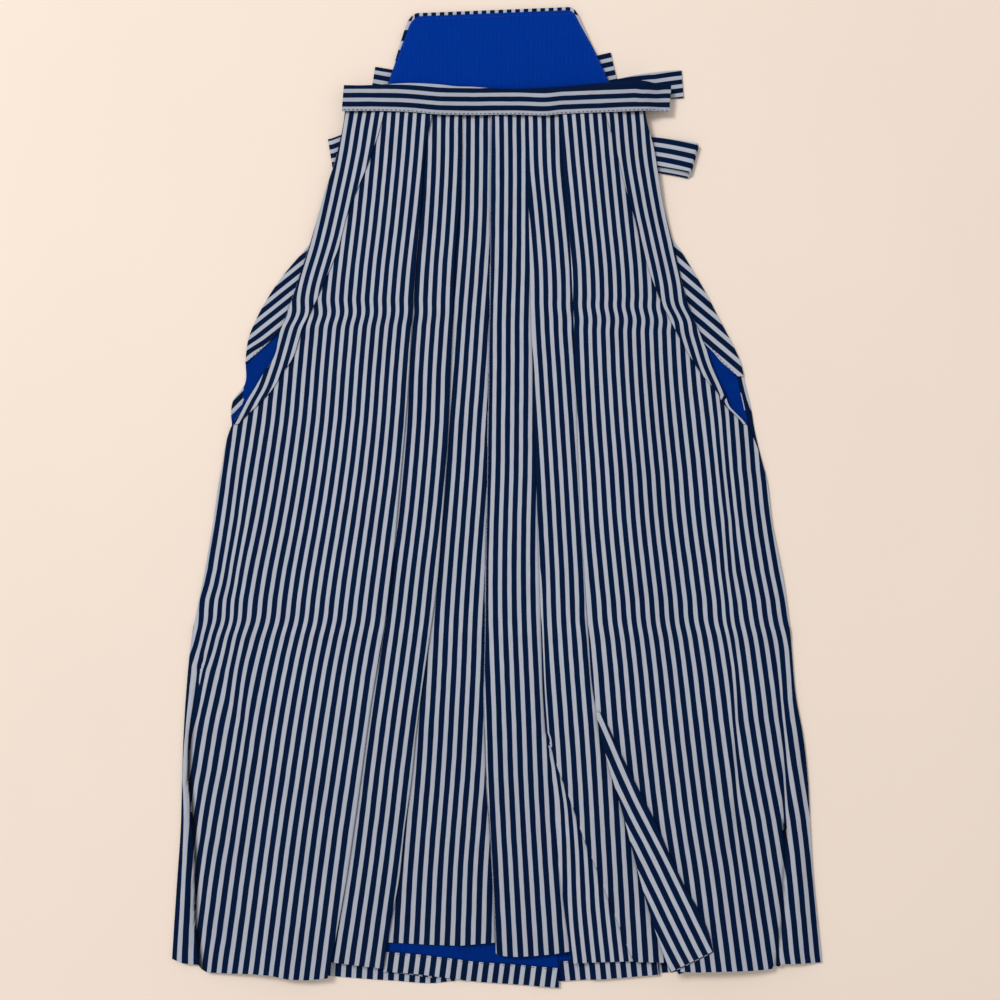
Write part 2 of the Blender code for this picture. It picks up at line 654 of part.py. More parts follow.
def main():
    for thing in list(bpy.data.objects):
        bpy.data.objects.remove(thing)
    striped = cloth_material("striped cloth")
    blue = cloth_material("blue reverse")

    left, right = front_left(), front_right()
    left_fold, right_fold = side_fold("left"), side_fold("right")
    wall("front_left_panel", left, CLOTH, striped)
    wall("front_right_panel", right, CLOTH, striped)
    wall("front_right_inner_pleat", inner_pleat(), CLOTH, striped)
    wall("front_right_sprung_pleat", sprung_pleat(), CLOTH, striped)
    wall("front_left_side_fold", left_fold, CLOTH, striped)
    wall("front_right_side_fold", right_fold, CLOTH, striped)

    back_l, back_r = back_left(), back_right()
    wall("back_left_panel", back_l, CLOTH, blue)
    wall("back_right_panel", back_r, CLOTH, blue)
    wall("back_left_hem", back_hem(back_l, slice(-12, None)), CLOTH, striped)
    wall("back_right_hem", back_hem(back_r, slice(-8, -1)), CLOTH, striped)
    wall("back_left_side_fold", back_side_fold("left"), CLOTH, striped)
    wall("back_right_side_fold", back_side_fold("right"), CLOTH, striped)

    plate_z = STRAP_THICK + GAP
    solid("back_plate", plate_grid(0, plate_z + PLATE_THICK), plate_grid(0, plate_z), striped)
    lining_z = plate_z + PLATE_THICK + GAP
    solid("back_plate_lining", plate_grid(PLATE_RIM, lining_z + CLOTH),
          plate_grid(PLATE_RIM, lining_z), blue)

    band = waistband((left, right, left_fold, right_fold))
    wall("front_waistband", band, CLOTH, striped, across=(1, 0, 0))
    strap("strap_behind_plate", (-126, 420.5), (118, 433), STRAP_THICK / 2, striped)
    strap("strap_right_upper", (121.0, 407.5), (186.0, 416), STRAP_THICK / 2, striped)
    wall("strap_left_loop", strap_loop("left"), STRAP_THICK, striped)
    wall("strap_right_loop", strap_loop("right"), STRAP_THICK, striped)


main()
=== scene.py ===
"""Hakama trousers laid flat on their back, front side up: striped outside, blue inside.

Each panel is one sheet of cloth laid in folds, section by section from the waist to the hem. The
stripes follow the cloth through its UV map: the first coordinate counts stripes across it and the
second runs down it. The tables are in millimetres: x to the wearer's left, y up the garment from
its middle, z up from the floor. The meshes are in metres.
"""

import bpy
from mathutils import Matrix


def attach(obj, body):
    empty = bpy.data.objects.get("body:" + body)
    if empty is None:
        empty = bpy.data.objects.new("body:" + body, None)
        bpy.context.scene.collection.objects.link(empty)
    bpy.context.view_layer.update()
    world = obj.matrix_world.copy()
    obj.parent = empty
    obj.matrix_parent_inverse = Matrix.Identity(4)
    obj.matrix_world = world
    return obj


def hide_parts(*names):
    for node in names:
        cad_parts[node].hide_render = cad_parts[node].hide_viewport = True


bl_info = {
    "name": "Hakama Trousers",
    "version": (1, 0, 0),
    "blender": (4, 5, 0),
    "location": "3D View > Sidebar > Hakama",
    "description": "Striped hakama trousers laid flat, built over their packed solids",
    "category": "Object",
}

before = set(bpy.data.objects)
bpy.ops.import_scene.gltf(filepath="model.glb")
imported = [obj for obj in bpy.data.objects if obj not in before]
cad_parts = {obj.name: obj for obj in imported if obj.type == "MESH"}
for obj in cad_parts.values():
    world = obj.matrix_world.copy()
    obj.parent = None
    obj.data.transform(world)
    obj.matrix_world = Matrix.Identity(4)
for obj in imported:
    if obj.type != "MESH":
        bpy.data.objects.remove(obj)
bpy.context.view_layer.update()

from functools import partial

import bpy
import numpy as np
from bpy.props import FloatProperty, FloatVectorProperty, IntProperty, PointerProperty

MM = 0.001

# The sizes that the solids share with the cloth, in millimetres.
CENTRING = (0.7, -0.5, 0.0)
CLOTH = 1.0
GAP = 0.3
PITCH = CLOTH + GAP     # height from one layer of cloth to the next
STRAP_WIDTH = 28.0
STRAP_THICK = 1.6
PLATE_THICK = 2.5
PLATE_RIM = 3.0
HEM_TURN = 20.0
FRONT_TOP = 402.0
FRONT_FOOT = -466.0
BACK_TOP = 395.0
BACK_FOOT = -485.0
FAN_TOP = -191.0
FAN_FULL = -236.0
FAN_START = -246.0      # of the fold inside it
FAN_FOOT = -465.0
GORE_ORIGIN = 499       # the height that the openings' stripes are counted from
THREAD_PITCH = 9.3      # a stripe's mean width, for what has no stripes of its own to follow
THREADS = 14            # drawn threads to each stripe
BLUE_SHEEN = (0.2, 0.5, 1.0, 1.0)
INWARD = {"left": 1, "right": -1}
COLUMN = {"left": 1, "right": 2}        # of the tables that have one for each side

# How many points lie across each wide panel, and how much longer the back's faces are.
MAIN_POINTS = {"left": 80, "right": 92}
BACK_OUTER_POINTS = 52
BACK_INNER_POINTS = 44
BACK_COARSER = 1.6

# Sections of the front, from the waist to the hem: the two sides and the edge of each pleat.
SECTION_COLUMNS = ("y", "left_side", "edge_1", "edge_2", "edge_3", "edge_4", "edge_5", "right_side")
SECTIONS = (
    (407, -152, -64.5, -36, -5, 30, 64, 147.5),
    (387, -152, -65, -36, -5.5, 31, 64.5, 148),
    (349, -159, -72, -35.5, -6, 31.5, 65, 157),
    (299, -174.5, -75.5, -37, -6.5, 32, 69.3, 165.5),
    (249, -189.5, -80.3, -42, -6.5, 33, 73.6, 178),
    (199, -206, -83.7, -44, -7, 34, 76, 190.5),
    (149, -224.5, -87, -46, -8, 35.5, 78, 210),
    (99, -250, -90, -48, -8.5, 37, 80.2, 231),
    (74, -265.5, -92, -49, -9, 38, 80.5, 250),
    (29, -276.5, -96, -51.5, -9.5, 39.5, 82, 268),
    (-26, -285, -101, -55.5, -10.5, 41, 84.5, 276),
    (-81, -294.5, -105.5, -60, -11.5, 43, 88, 287),
    (-136, -305.5, -114, -67.5, -12, 44.5, 91.5, 294),
    (-201, -312, -125.5, -77, -13, 46.5, 97.5, 300),
    (-236, -314, -130.5, -81.5, -12, 49, 106, 306.5),
    (-281, -315.5, -136.5, -86, -10.5, 52, 124, 311.5),
    (-331, -317, -143.5, -93, -7, 57, 141, 314),
    (-381, -320.5, -151, -98.5, -4, 63, 157, 317),
    (-426, -323.5, -159, -107, -2, 68.5, 169, 321.5),
    (-466, -326, -167, -113.5, -1, 74, 179, 325.5),
)

# Where one light stripe of each panel starts, from the waist to the hem, and the stripes' pitch on
# the pleats and on the two wide side panels: the stripes fan out towards the hem.
STRIPE_COLUMNS = ("y", "main_left", "strip", "inner", "centre", "right_pleat", "main_right",
                  "pitch", "main_pitch")
STRIPES = (
    (379, -75.6, -59.9, -26.3, 6.6, 40.1, 74.2, 8.6, 8.6),
    (329, -79.7, -60.9, -26.7, 7.1, 41.6, 78.7, 8.6, 8.6),
    (279, -84.8, -63.7, -27.8, 6.8, 46.3, 83.8, 8.65, 8.6),
    (229, -90.5, -67.7, -31.1, 6.1, 50.3, 88.6, 8.8, 8.65),
    (179, -94.5, -70.3, -35, 4.7, 51.6, 90, 8.87, 8.75),
    (129, -98.7, -73.6, -38.5, 4.5, 54.8, 91.9, 8.92, 8.8),
    (79, -102.3, -75.6, -42.4, 3.9, 58, 94.6, 8.98, 8.95),
    (29, -107.1, -79.4, -45.6, 3.3, 61.2, 98.1, 9.07, 9.15),
    (-21, -113.4, -84.4, -49.6, 1.7, 64.1, 101.2, 9.15, 9.3),
    (-71, -120, -90.7, -53.9, 0.7, 66.9, 105.6, 9.33, 9.55),
    (-121, -126.8, -96.5, -57.5, 1, 68.9, 110.8, 9.52, 9.75),
    (-171, -135.3, -103.4, -60, 2.7, 72.3, 115.9, 9.7, 10),
    (-221, -142.4, -110.5, -62.9, 4.6, 76.1, 120.1, 9.8, 10.2),
    (-271, -149.7, -116.9, -65.9, 6.2, 79.6, 125.3, 9.87, 10.2),
    (-321, -157.1, -122.8, -70.1, 8.5, 82.4, 131, 9.92, 10.25),
    (-371, -163.8, -129.2, -74.1, 11.3, 85, 138.4, 10, 10.3),
    (-421, -170.1, -136.4, -76.8, 14, 87.1, 144.9, 10.2, 10.3),
)
# How far the wide panels' stripes bow out between the line and the side, on the left, on the right
# near the line and on the right near the side.
BOWS = (
    (229, 0.3, 0, 0.5), (129, 0.5, 0, 1.3), (79, 1.4, 0, 2.3), (29, 1.4, 0, 1.7),
    (-21, 1, -0.2, 1.5), (-71, 0.5, -0.3, 0.7), (-121, 1.2, -0.8, 0), (-221, 0.5, -1, 0),
    (-271, 0.3, -0.6, 1.8), (-321, 0.6, -0.2, 1.9), (-371, 0.8, 0, 1), (-421, 0.6, 0, 1.5),
)
# The fold inside the right pleat, which fans out: where a light stripe starts, and the pitch.
FAN_STRIPES = (
    (-289, 70.7, 6.3), (-309, 74.2, 7.3), (-329, 76.1, 7.9), (-349, 77.5, 8.3), (-369, 78.4, 8.6),
    (-389, 79, 8.95), (-408, 79.9, 9.1), (-428, 81.5, 9.25), (-456, 84.5, 9.25),
)
# How far apart its outermost stripes are counted: below 1 they are wider than the others.
FAN_OUTERMOST = ((-361, 1), (-346, 0.8), (-320, 0.62), (-280, 0.62), (-266, 0.8))
# Where a light stripe of the two narrow folds beside the openings starts.
FOLD_STRIPES = {
    "left": ((381, -152), (339, -159), (297, -168), (255, -178), (213, -190), (185, -195),
             (171, -199), (157, -203), (129, -211), (109, -218.5), (100, -223.6), (87, -230.3)),
    "right": ((381, 142), (339, 146), (297, 153), (255, 162), (213, 171), (199, 173), (185, 178),
              (157, 186), (129, 195), (115, 201.3), (109, 203.9), (100, 207.3), (87, 213)),
}
FOLD_PITCH = 8.6
# The stripes of the openings' turned edges: degrees from level, pitch and count.
GORES = {
    "left": (51.5, 8.62, 0.54), "right": (49.5, 9.58, 0), "corner": (44.5, 9, 0.25),
}
FLAP_STRIPES = (
    (-222, 101), (-301, 135.5), (-351, 160.8), (-401, 184.9), (-436, 201.6), (-457, 212.1),
    (-470, 219.2),
)
FLAP_PITCH = 11.4
# A light stripe's start, the pitch and the lean on each turned-up hem.
HEM_LINES = {
    "left": (-106.4, 10.66, -0.13), "under_left": (-157.3, 10.65, -0.06),
    "right": (68.6, 10.36, 0.105),
}

# Stripes that a soft fold swallows beside each side seam: its middle, its half width and how many.
SWALLOW_LEFT = (
    (69, -257, 14, 0), (29, -262, 14, 0.17), (-21, -259, 14, 0.37), (-71, -266, 17, 0.7),
    (-121, -270, 22, 0.64), (-171, -264, 18, 0.6), (-221, -254, 12, 0.43), (-271, -260, 12, 0.33),
    (-321, -262, 12, 0.1), (-466, -262, 12, 0),
)
SWALLOW_RIGHT = (
    (99, 222, 10, 0.2), (29, 226, 14, 0.6), (-21, 234, 12, 0.58), (-71, 228, 14, 0.6),
    (-121, 230, 10, 0.35), (-171, 238, 8, 0.5), (-221, 237, 6, 0.6), (-271, 240, 6, 0.5),
    (-321, 240, 6, 0.2), (-466, 242, 8, 0),
)

# How many stripes the valley beside the right side seam swallows, how far the stripes on the left
# slip towards the side, then the outermost of them alone, and the stripes of the left side's roll:
# a light one's start, and the pitch.
VALLEY_SLIPS = (
    (-150, 0), (-201, 0.4), (-231, 0.4), (-261, 0.45), (-291, 0.5), (-321, 0.6), (-332, 0.64),
    (-333, -0.36), (-341, -0.33), (-361, -0.23), (-410, 0.05), (-441, 0.21), (-456, 0.28),
)
SIDE_SLIPS = (
    (-86, 0), (-101, -1.3), (-111, -1.1), (-121, -0.4), (-131, -0.6), (-150, -1.2), (-171, -2.5),
    (-201, -1.8), (-261, -1.8), (-291, -1.5), (-321, -0.5), (-341, -0.6), (-361, -1.2),
    (-441, -1.3), (-456, -1.8),
)
EDGE_SLIPS = (
    (-111, 0), (-121, 0.8), (-131, 3.2), (-141, 4.6), (-151, 4.6), (-157, 4), (-165, 2), (-172, 0),
)
ROLL_STRIPES = (
    (-150, -303.5, 10), (-176, -306.4, 12.5), (-191, -308.1, 12.5), (-206, -309.6, 11),
    (-221, -311.2, 9), (-236, -312.4, 7.5), (-251, -313.9, 9.5), (-281, -315.2, 11.8),
    (-296, -314.2, 13), (-310, -313.6, 12.6), (-325, -313.6, 12), (-355, -314.6, 10.2),
    (-385, -316, 9.5), (-400, -316.8, 10), (-430, -318.6, 10.6), (-460, -320.6, 11.6),
)

# The lines that the pieces follow, a height or x first: the right pleat's edge where it fans out,
# both edges of the sprung pleat, the widths of the folds beside the openings and how far the right
# one overhangs, the back's sides, the widths of its turned-over edges and of the strip that shows
# beside the right opening's foot, its inner edges, the edge and depth of each of its pleats, and
# the waistband's lower and upper edge.
RIGHT_PLEAT = (
    (-236, 50.5), (-250, 55), (-270, 61.5), (-289, 69), (-309, 76.5), (-329, 83.5), (-349, 91),
    (-368, 99.5), (-388, 107), (-408, 115), (-428, 123), (-448, 131), (-466, 139),
)
FLAP = (
    (-212, 99, 102.5), (-222, 100.5, 108), (-249, 107, 120.5), (-271, 113, 131.5), (-294, 120, 143),
    (-322, 128, 157.5), (-351, 135.5, 170), (-381, 143.5, 184), (-409, 151.6, 198),
    (-441, 162.6, 209), (-466, 173, 214.5),
)
SIDE_FOLD = (
    (407, 40, 41), (387, 39, 40), (334, 34, 37), (279, 28.5, 32), (249, 30, 33), (199, 25, 27),
    (149, 19.5, 20.5), (133, 18.8, 16.3), (117, 18.8, 10.8), (108, 18.2, 7.8), (99, 15.5, 5.8),
    (93, 13, 3.6), (88, 10.9, 2.8), (82, 8.5, 2.6), (75, 5.6, 2.6),
)
SIDE_HOOK = ((126, 0), (112, 1.6), (104, 2.2), (98, 0.8), (92, 0))
BACK_SIDE = (
    (395, -118, 108), (360, -125, 115), (320, -140, 128), (290, -160, 148), (256, -187, 179),
    (227, -212, 197.5), (209, -225, 208), (182, -240.5, 222), (161, -249, 233), (140, -252, 243),
    (113, -254, 249.5), (99, -264.5, 253), (87, -266.8, 255.5), (74, -266, 257.5),
    (29, -276.5, 268),
)
BACK_FOLD = (
    (395, 24, 24), (290, 34, 34), (256, 38, 38), (199, 36, 36), (171, 31, 35), (161, 24.5, 31),
    (154, 18.4, 26.5), (147, 11.5, 23), (140, 4.5, 20.5), (136, 1.2, 17.8), (130, 0.5, 12.3),
    (123, 0.4, 7),
)
BACK_EDGE = ((124, 7.6), (107, 7.5), (86, 7), (65, 6.5), (32, 3))
BACK_EDGE_LIGHT = ((125, 2.4), (100, 2.2), (92, 1.2), (86, -0.5))
BACK_INNER = ((395, 10, -10), (0, 34, 14), (-300, 54, 34), (-490, 62, 42))
BACK_PLEAT = ((395, -22, 14, 44, 14), (0, -30, 34, 74, 34), (-490, -43, 73, 104, 60))
WAISTBAND_FOOT = (
    (-153.5, 386.4), (-116, 386), (-87, 385), (-57, 382.5), (-27, 382.4), (3, 382.5), (23, 382.1),
    (53, 381.1), (63, 382.2), (78, 382.9), (108, 384.1), (148, 386.1), (158, 386.7), (173, 386.6),
)
WAISTBAND_TOP = (
    (-153.5, 413.2), (-137, 412.8), (-117, 413.4), (-87, 414.8), (-57, 413.3), (-42, 411.7),
    (-27, 411.5), (3, 409.4), (55, 410.2), (103, 414.2), (148, 416.8), (158, 415), (173, 413.4),
)
WAISTBAND_REACH = 23.0      # how far to both sides the stiff waistband evens out what is under it
LOOPS = {
    "right": {"root": 143, "tip": 201.5, "top": 363, "fall": -7, "bend": 1.6, "lean": -8,
              "slip": -6.4, "rise": 2, "pitch": 9.2, "count": 0.5, "turning": -0.2, "under": 0.3},
    "left": {"root": -141, "tip": -168.6, "top": 370.4, "fall": -9.8, "bend": 1, "lean": 4.5,
             "slip": -1, "rise": 0.4, "pitch": 8.6, "count": -0.21, "turning": 0, "under": 0},
}
LOOP_TURN = 2.4         # how far a loop's round turn reaches out
LOOP_ROOT_HEIGHT = 3.6
# The middle line of each straight strap, and its stripes' count at its upper edge along it.
STRAPS = {
    "strap_behind_plate": (((-124.3, 419.8), (-100, 415.9), (-40, 411), (30, 417), (90, 428.2),
                            (117, 434.4)), ((0, 0.62), (1, 0.45)), 9),
    "strap_right_upper": (((116, 406), (143, 411.8), (165, 414.7), (186, 416.3)),
                          ((0, 0.5), (0.62, 0.2), (1, 0.38)), 8.6),
}
PLATE_CORNERS = {"top_left": (-84.5, 486.8), "top_right": (77.5, 492.8),
                 "foot_right": (121.5, 397), "foot_left": (-115.5, 397)}
PLATE_ROUND = 6.0
PLATE_HEIGHT = 94.0
BAND_PITCH = 8.85
BAND_LAP = 383.0        # the front's cloth above it lies inside the waistband
BAND_KINKS = (-64, -30, 55, 93, 148)    # where the edges inside show as small ridges
BAND_SHADE = 0.13       # painted shade over the whole waistband: its threads lie crosswise and catch less of the light

HEM_MAIN_LEFT = (
    (-326, -461), (-315, -464.6), (-304, -465.8), (-298, -467), (-297, -470.5), (-289, -473.8),
    (-264, -474.6), (-244, -474.3), (-223, -475.4), (-206, -479), (-188, -480), (-166, -478),
)
HEM_STRIP = ((-201, -462), (-166, -462.5), (-120, -468), (-111, -469))
HEM_INNER = (
    (-145, -443.5), (-111, -443.5), (-70, -445.8), (-37, -446.6), (-20, -445), (-2, -443.5),
    (26, -443.5),
)
HEM_CENTRE = ((0, -454), (7, -456.4), (19, -457.2), (36, -456.4), (62, -453.9), (72, -451.9))
HEM_BACK_LEFT = (
    (-326, -461), (-166, -478.5), (-122, -482), (-100, -483.2), (-75, -485.6), (-62, -485.6),
    (-45, -483.6),
)
HEM_BACK_CENTRE = (
    (-115, -472.5), (-89, -474.3), (-66, -476.3), (-46, -479.2), (-30, -481), (-25, -483),
    (-9, -484.6), (23, -487), (62, -490),
)
HEM_BACK_RIGHT = ((42, -485), (103, -481), (163, -475.5), (180, -474), (325, -462))
HEM_MAIN_RIGHT = (
    (179, -470.2), (199, -470.8), (230, -470.2), (253, -470.2), (263, -469.8), (275, -469.2),
    (276, -466.2), (282, -467.4), (284.4, -464.8), (326, -464.5),
)
HEM_FAN = ((75, -463.3), (100, -462.4), (137, -461.5))
HEM_RIGHT = ((95, -461), (180, -462))
# The hems of each back panel's outer part, turn and inner part.
BACK_HEMS = {
    "left": ((HEM_BACK_LEFT, -326, -43), (-483, -473), (HEM_BACK_CENTRE, -101, 62)),
    "right": ((HEM_BACK_RIGHT, 325, 104), (-481, -476.5), (HEM_BACK_RIGHT, 152, 42)),
}

# How high the front's lowest layer lies at the waist, over the strap loops, on the body, beside an
# opening and at the side seams, and how far the hem's and the sides' own shapes reach in.
BASE_WAIST = 7.8
BASE_LOOPS = 6.2
BASE_BODY = 4.5
BASE_OPENING = 3.2
BASE_SEAM = 1.9
HEM_REACH = 120.0
SIDE_REACH = 45.0
STORED_CREASES = ((190, 1.1), (-134, 1.3))
CREASE_HALF = 11.0
# Where stripes slip sideways on a storage crease: its y, its half height, and x with the slip.
CREASE_SLIPS = (
    (185.5, 16, ((-160, 2.4), (-77, 0.8), (-30, 0))),
    (193, 10, ((30, 0), (120, -0.7))),
    (178, 12, ((30, 0), (120, 1.2))),
    (-121, 24, ((-270, 1.9), (-200, 0.9), (-110, 0.4), (-100, 0), (70, 0), (80, -0.5),
     (150, -0.9), (270, -1.5))),
)
ROLL_START = -120.0
ROLL_FULL = -280.0
ROLL_HEIGHT = 2.0
VALLEY_DEPTH = 1.0
VALLEY_HALF = 9.0
VALLEY_LINE = 1.7       # how much deeper the valley is along its own narrow line
VALLEY_LINE_HALF = 3.2
LOWEST = 1.85           # the front's middle surface where it touches the back
VALLEY_LEFT = (
    (-130, -292), (-181, -299), (-206, -302), (-221, -304), (-236, -307), (-266, -309),
    (-281, -309), (-296, -307), (-325, -305.2), (-355, -302.8), (-385, -302.4), (-430, -301.6),
    (-445, -299.5), (-466, -297),
)
VALLEY_RIGHT = (
    (-130, 280), (-181, 284), (-261, 289), (-341, 288), (-361, 288.2), (-381, 286.5), (-421, 285.5),
    (-441, 282.5), (-466, 279),
)
# How far the visible side lies inside its section beside each opening's foot.
SEAM_IN = {
    "left": ((166, 0), (156, 1.6), (149, 3.6), (141, 4.2), (134, 3.8), (128, 1.4), (116, 0.8),
             (104, 0)),
    "right": ((106, 0), (97, 2), (91, 2.7), (85, 1.5), (79, 0)),
}
# How far back the right pleat's stripes slip beside its edge, in stripes: painted shade, a dark
# stripe laid along the fold's edge for its shadow line.
EDGE_SHADE = ((-250, 0), (-241, 0.7), (-200, 0.7), (-140, 0.62), (-100, 0.45), (-70, 0))

# The stage, in metres: a wide floor just under the cloth, the window's place, and the camera's
# shift and the cloth's mean height over the floor, where the view's width is measured.
FLOOR_CORNERS = ((-5, -5), (5, -5), (5, 5), (-5, 5))
FLOOR_BELOW = 0.0004
WINDOW_PLACE = (-2.5, 2.2, 4.0)
ROOM_COLOUR = (1.0, 0.99, 0.98, 1.0)
CAMERA_SHIFT = (0.0037, -0.0015)
CLOTH_MEAN = 0.006

# Soft creases: from x, y to x, y, half width and height of the ridge (or depth, below 0).
CREASES = (
    (-60, 372, -66, 300, 4, 0.35), (-31, 375, -33, 290, 4, 0.3), (54, 374, 66, 280, 4, 0.3),
    (92, 378, 108, 310, 5, 0.3), (-100, 376, -118, 300, 5, 0.25), (-256, 66, -262, -60, 8, -0.8),
    (-262, -60, -272, -140, 9, -0.9), (-246, 60, -250, -110, 7, 0.5),
    (-272, -140, -297, -168, 7, -0.8), (-290, -110, -303, -150, 7, 0.7),
    (228, 90, 238, -60, 8, -0.8), (238, -60, 248, -122, 8, -0.9), (216, 60, 226, -100, 8, 0.5),
    (246, -128, 241, -160, 6, -0.8), (241, -180, 239, -350, 4, -1.1),
    (234, -190, 232, -350, 5, 0.7), (262, -150, 262, -420, 13, 0.6), (300, 0, 282, -110, 10, 0.5),
    (-180, 210, -120, 150, 10, 0.35), (150, 205, 100, 150, 9, 0.3), (-150, -90, -60, -150, 12, 0.3),
    (-190, 20, -176, -330, 20, 0.35), (186, 10, 214, -300, 20, 0.35),
    (-228, -60, -236, -400, 16, -0.35), (-140, 60, -118, -60, 9, 0.3), (-30, 120, -36, -90, 8, 0.3),
    (14, 60, 16, -260, 9, 0.3), (62, 90, 66, -150, 8, 0.25), (-86, -150, -128, -440, 10, 0.35),
    (-58, -180, -66, -430, 12, 0.35), (30, -200, 38, -440, 12, 0.3),
    (120, -100, 128, -200, 8, 0.35), (-40, 330, -40, 215, 10, 0.25), (120, 300, 128, 215, 12, 0.3),
    (-205, -150, -222, -420, 9, 0.3), (186, -260, 230, -440, 12, 0.3),
)


# ---- measuring along the tables -----------------------------------------------------------------

def down(table, y, number=1):
    """A column of a table at heights y: a smooth curve, straight past its ends."""
    rows = np.array(sorted(table), float)
    keys, values = rows[:, 0], rows[:, number]
    slopes = np.gradient(values, keys)
    y = np.asarray(y, float)
    i = np.clip(np.searchsorted(keys, y) - 1, 0, len(keys) - 2)
    span = keys[i + 1] - keys[i]
    s = (y - keys[i]) / span
    curve = (values[i] * (1 + 2 * s) * (1 - s) ** 2 + slopes[i] * span * s * (1 - s) ** 2
             + values[i + 1] * s * s * (3 - 2 * s) + slopes[i + 1] * span * s * s * (s - 1))
    curve = np.where(y <= keys[0], values[0] + slopes[0] * (y - keys[0]), curve)
    return np.where(y >= keys[-1], values[-1] + slopes[-1] * (y - keys[-1]), curve)


def level(table, y, number=1):
    """A column of a table at heights y, which keeps its end values past its ends."""
    rows = np.array(sorted(table), float)
    return np.interp(y, rows[:, 0], rows[:, number])


def section(name, y):
    return down(SECTIONS, y, SECTION_COLUMNS.index(name))


def seam(side, y):
    """Where the front's cloth ends at one side."""
    return section(side + "_side", y) + INWARD[side] * level(SEAM_IN[side], y)


def step(low, high, value):
    """0 at low, 1 at high and a soft slope between them, whichever of the two is larger."""
    s = np.clip((value - low) / (high - low), 0, 1)
    return s * s * (3 - 2 * s)


def fade(low, high, value):
    """1 at low and 0 at high."""
    return 1 - step(low, high, value)


# ---- the stripes --------------------------------------------------------------------------------

def crease_shift(x, y):
    """How far the stripes slip sideways at the storage creases, in millimetres."""
    return sum(level(slips, x) * fade(0, half, np.abs(y - at)) for at, half, slips in CREASE_SLIPS)


def stripes(name, x, y):
    """The count of stripes from the panel's own line, with what its soft folds swallow."""
    wide = name.startswith("main")
    line = down(STRIPES, y, STRIPE_COLUMNS.index(name))
    pitch = down(STRIPES, y, STRIPE_COLUMNS.index("main_pitch" if wide else "pitch"))
    away, bow = np.abs(x - line), 0.0
    if name == "main_left":
        beyond = x - down(VALLEY_LEFT, y)
        squeezed = step(-152, -164, y) * fade(-205, -240, y)    # a thin line along the valley
        bow = (level(BOWS, y) * np.sin(np.pi * np.clip(away / 170, 0, 1))
               + level(SIDE_SLIPS, y) * fade(-285, -235, x)
               + 0.8 * step(-280, -300, y) * fade(4, 14, beyond)
               + 2.7 * squeezed * fade(2, 7, beyond)
               + level(EDGE_SLIPS, y) * fade(-304, -280, x))
    elif name == "main_right":
        bow = (level(BOWS, y, 2) * np.sin(np.pi * np.clip(away / 130, 0, 1))
               + level(BOWS, y, 3) * step(70, 125, away))
    count = (x - crease_shift(x, y) - line - bow) / pitch
    if wide:
        table = SWALLOW_LEFT if name == "main_left" else SWALLOW_RIGHT
        middle, half, lost = (level(table, y, n) for n in (1, 2, 3))
    if name == "main_left":
        count = count - lost * fade(middle - half, middle + half, x)
        roll = 0.04 + (x - level(ROLL_STRIPES, y)) / level(ROLL_STRIPES, y, 2) - count
        count = count + (roll - np.round(roll)) * step(-150, -174, y) * fade(-0.8, 0.8, beyond)
    elif name == "main_right":
        valley = down(VALLEY_RIGHT, y)
        count = (count + lost * step(middle - half, middle + half, x)
                 + level(VALLEY_SLIPS, y) * step(valley - 3.5, valley + 3.5, x))
    elif name == "right_pleat":     # painted shade: a dark stripe along the fold's edge
        count = count - level(EDGE_SHADE, y) * fade(0.2, 1.6, x - right_edge(y))
    return count


def gore_stripes(name, x, y):
    """Stripes of the openings' turned edges, which run down and outwards."""
    degrees, pitch, start = GORES[name]
    lean = np.radians(degrees)
    outward = -x if name == "right" else x
    count = (outward * np.cos(lean) - (y - GORE_ORIGIN) * np.sin(lean)) / pitch + start
    if name == "left":      # the lowest stripes lie a little higher beside the edge
        count = count + 0.26 * step(165, 145, y) * step(-226, -246, x)
    return count


def hem_stripes(name, x, y):
    start, pitch, lean = HEM_LINES[name]
    return (x - start - lean * (BACK_FOOT - y)) / pitch


# ---- how high the cloth lies --------------------------------------------------------------------

def from_side(x, y):
    """How far inside the nearer side seam."""
    return np.minimum(x - section("left_side", y), section("right_side", y) - x)


def base(x, y):
    """What lies under the front: the back's layers, and the straps and the plate at the waist."""
    middle = BASE_BODY + (BASE_LOOPS - BASE_BODY) * step(262, 325, y)
    middle = middle + (BASE_WAIST - BASE_LOOPS) * step(330, 378, y)
    edge = BASE_SEAM + (BASE_OPENING - BASE_SEAM) * step(30, 90, y)
    edge = edge + (middle - edge) * step(262, 320, y)
    return edge + (middle - edge) * step(0, SIDE_REACH, from_side(x, y))


def crease(x, y, line):
    """One soft ridge or trough along a line, fading out towards its ends."""
    x0, y0, x1, y1, half, height = line
    length = np.hypot(x1 - x0, y1 - y0)
    ux, uy = (x1 - x0) / length, (y1 - y0) / length
    s = ((x - x0) * ux + (y - y0) * uy) / length
    away = np.abs((x - x0) * uy - (y - y0) * ux)
    return height * fade(0, half, away) * step(0, 0.25, s) * fade(0.75, 1, s)


def puff(x, y):
    """Air, storage creases and soft creases: the same for all layers at one place."""
    waves = 0.9 + 0.5 * np.sin(x / 37.0 + y / 90.0) + 0.4 * np.sin(x / 17.0 - y / 140.0)
    inward = from_side(x, y)
    height = waves * step(0, 25, inward) * fade(300, 395, y)
    for crease_y, ridge in STORED_CREASES:
        sag = 26.0 * (x / 230.0) ** 2 if crease_y > 0 else 0.0
        height = height + ridge * fade(0, CREASE_HALF, np.abs(y - crease_y + sag))
    return height + sum(crease(x, y, line) for line in CREASES) * step(0, 8, inward)


